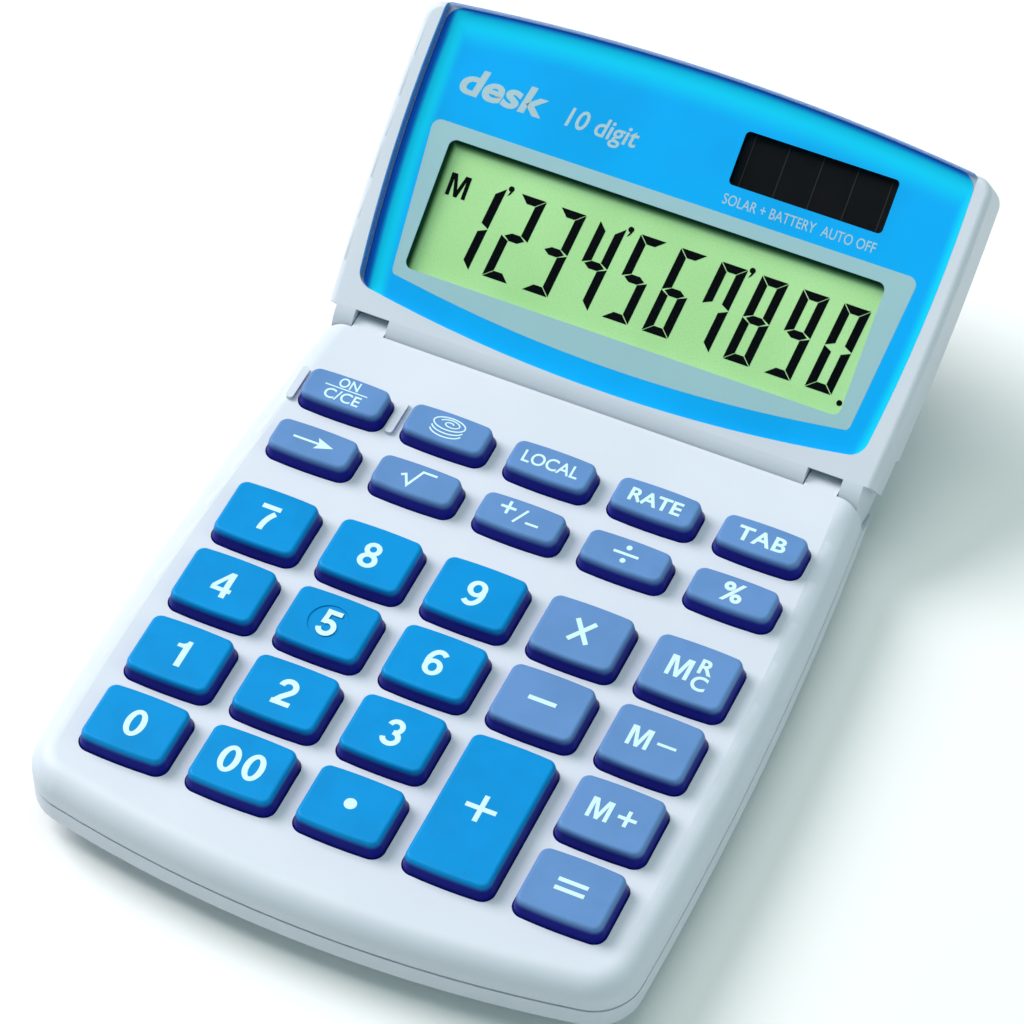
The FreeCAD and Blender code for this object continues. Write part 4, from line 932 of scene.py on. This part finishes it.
COMMA_UP = 26.9
COMMA_SIDE = 3.75
COMMAS_AFTER = (0, 3, 6)
MEMORY_MARK = (-34.55, 24.6)
POINT_MARK = (37.1, 11.4)
DOT_WIDE = 0.95
marks = [*figure("M", 3.8, *MEMORY_MARK), flat([oval(*POINT_MARK, DOT_WIDE, DOT_WIDE)])]
for digit in COMMAS_AFTER:
    x = digit_points[digit][0] + COMMA_SIDE
    marks.append(flat([oval(x, COMMA_UP, 1.0, DOT_WIDE)]))
    marks.append(flat([[(x + 0.5, COMMA_UP - 0.05), (x + 0.1, COMMA_UP - 0.9), (x - 0.35, COMMA_UP - 1.3),
                        (x - 0.05, COMMA_UP - 0.5)]]))
piece("display_marks", marks, SEGMENT, "display_head", on_head(0, 0, INK_LEVEL), PRINT_THICK)

SOLAR_LINES = 5
SOLAR_PITCH = 5.9
SOLAR_LINE_WIDE = 0.12
tree, keys = row_tree()
solar_lines = grown(tree, keys, [(0, 0, 0)], {
    "Count": SOLAR_LINES, "Pitch": SOLAR_PITCH, "Bar Width": SOLAR_LINE_WIDE,
    "Bar Length": SOLAR_WINDOW[3], "Thickness": 1.0, "Ink": SOLAR_LINE,
})
piece("solar_lines", [solar_lines], SOLAR_LINE, "display_head", on_head(*SOLAR_WINDOW[:2], INK_LEVEL),
      LINE_THICK)


# The floor, the light and the camera.


FLOOR_HALF = 3.0
FULL_FRAME = 36.0


def floor():
    mesh = bpy.data.meshes.new("floor")
    half = FLOOR_HALF
    corners = [(-half, -half, 0), (half, -half, 0), (half, half, 0), (-half, half, 0)]
    mesh.from_pydata(corners, [], [(0, 1, 2, 3)])
    finish = Finish("floor_paint")
    finish.set("Base Color", finish.mix(FLOOR_WHITE, FLOOR_SHADE, finish.noise(300.0)))
    finish.set("Roughness", finish.noise(60.0) * 0.1 + 0.7)
    mesh.materials.append(finish.material)
    thing = bpy.data.objects.new("floor", mesh)
    bpy.context.scene.collection.objects.link(thing)


def lamp(name, place, size, power, colour):
    """A round lamp aimed at the middle of the object, with its size in metres and its power in watts."""
    light = bpy.data.lights.new(name, "AREA")
    light.shape = "DISK"
    light.size = size
    light.energy = power
    light.color = colour
    thing = bpy.data.objects.new(name, light)
    thing.location = place
    thing.rotation_euler = (-Vector(place)).to_track_quat("-Z", "Y").to_euler()
    bpy.context.scene.collection.objects.link(thing)


def sky(colour, strength):
    world = bpy.data.worlds.new("studio")
    world.use_nodes = True
    background = next(node for node in world.node_tree.nodes if node.type == "BACKGROUND")
    background.inputs["Color"].default_value = colour
    background.inputs["Strength"].default_value = strength
    bpy.context.scene.world = world


def camera(target, azimuth, elevation, distance, lens):
    """A camera aimed at a point from a distance in metres, with its angles in degrees."""
    view = bpy.data.cameras.new("camera")
    view.lens = lens
    view.sensor_width = FULL_FRAME
    view.clip_start = 0.01
    thing = bpy.data.objects.new("camera", view)
    turn, lift = math.radians(azimuth), math.radians(elevation)
    away = Vector((math.sin(turn) * math.cos(lift), -math.cos(turn) * math.cos(lift), math.sin(lift)))
    thing.location = Vector(target) + away * distance
    thing.rotation_euler = (-away).to_track_quat("-Z", "Y").to_euler()
    bpy.context.scene.collection.objects.link(thing)
    bpy.context.scene.camera = thing


floor()
lamp("soft_key", (-2.1, 0.44, 2.0), size=1.8, power=80.0, colour=(1.0, 0.975, 0.985))
lamp("soft_top", (-0.1, 0.1, 1.6), size=1.2, power=9.0, colour=(0.97, 0.99, 1.0))
lamp("soft_side", (1.9, -0.1, 1.3), size=1.6, power=7.0, colour=(0.90, 1.0, 0.97))
sky((0.48, 0.93, 0.85, 1), strength=0.29)
camera(target=(-0.001569, -0.000638, 0.0175), azimuth=24.764, elevation=50.966, distance=0.72441, lens=163.2)
bpy.context.scene.view_settings.view_transform = "Standard"
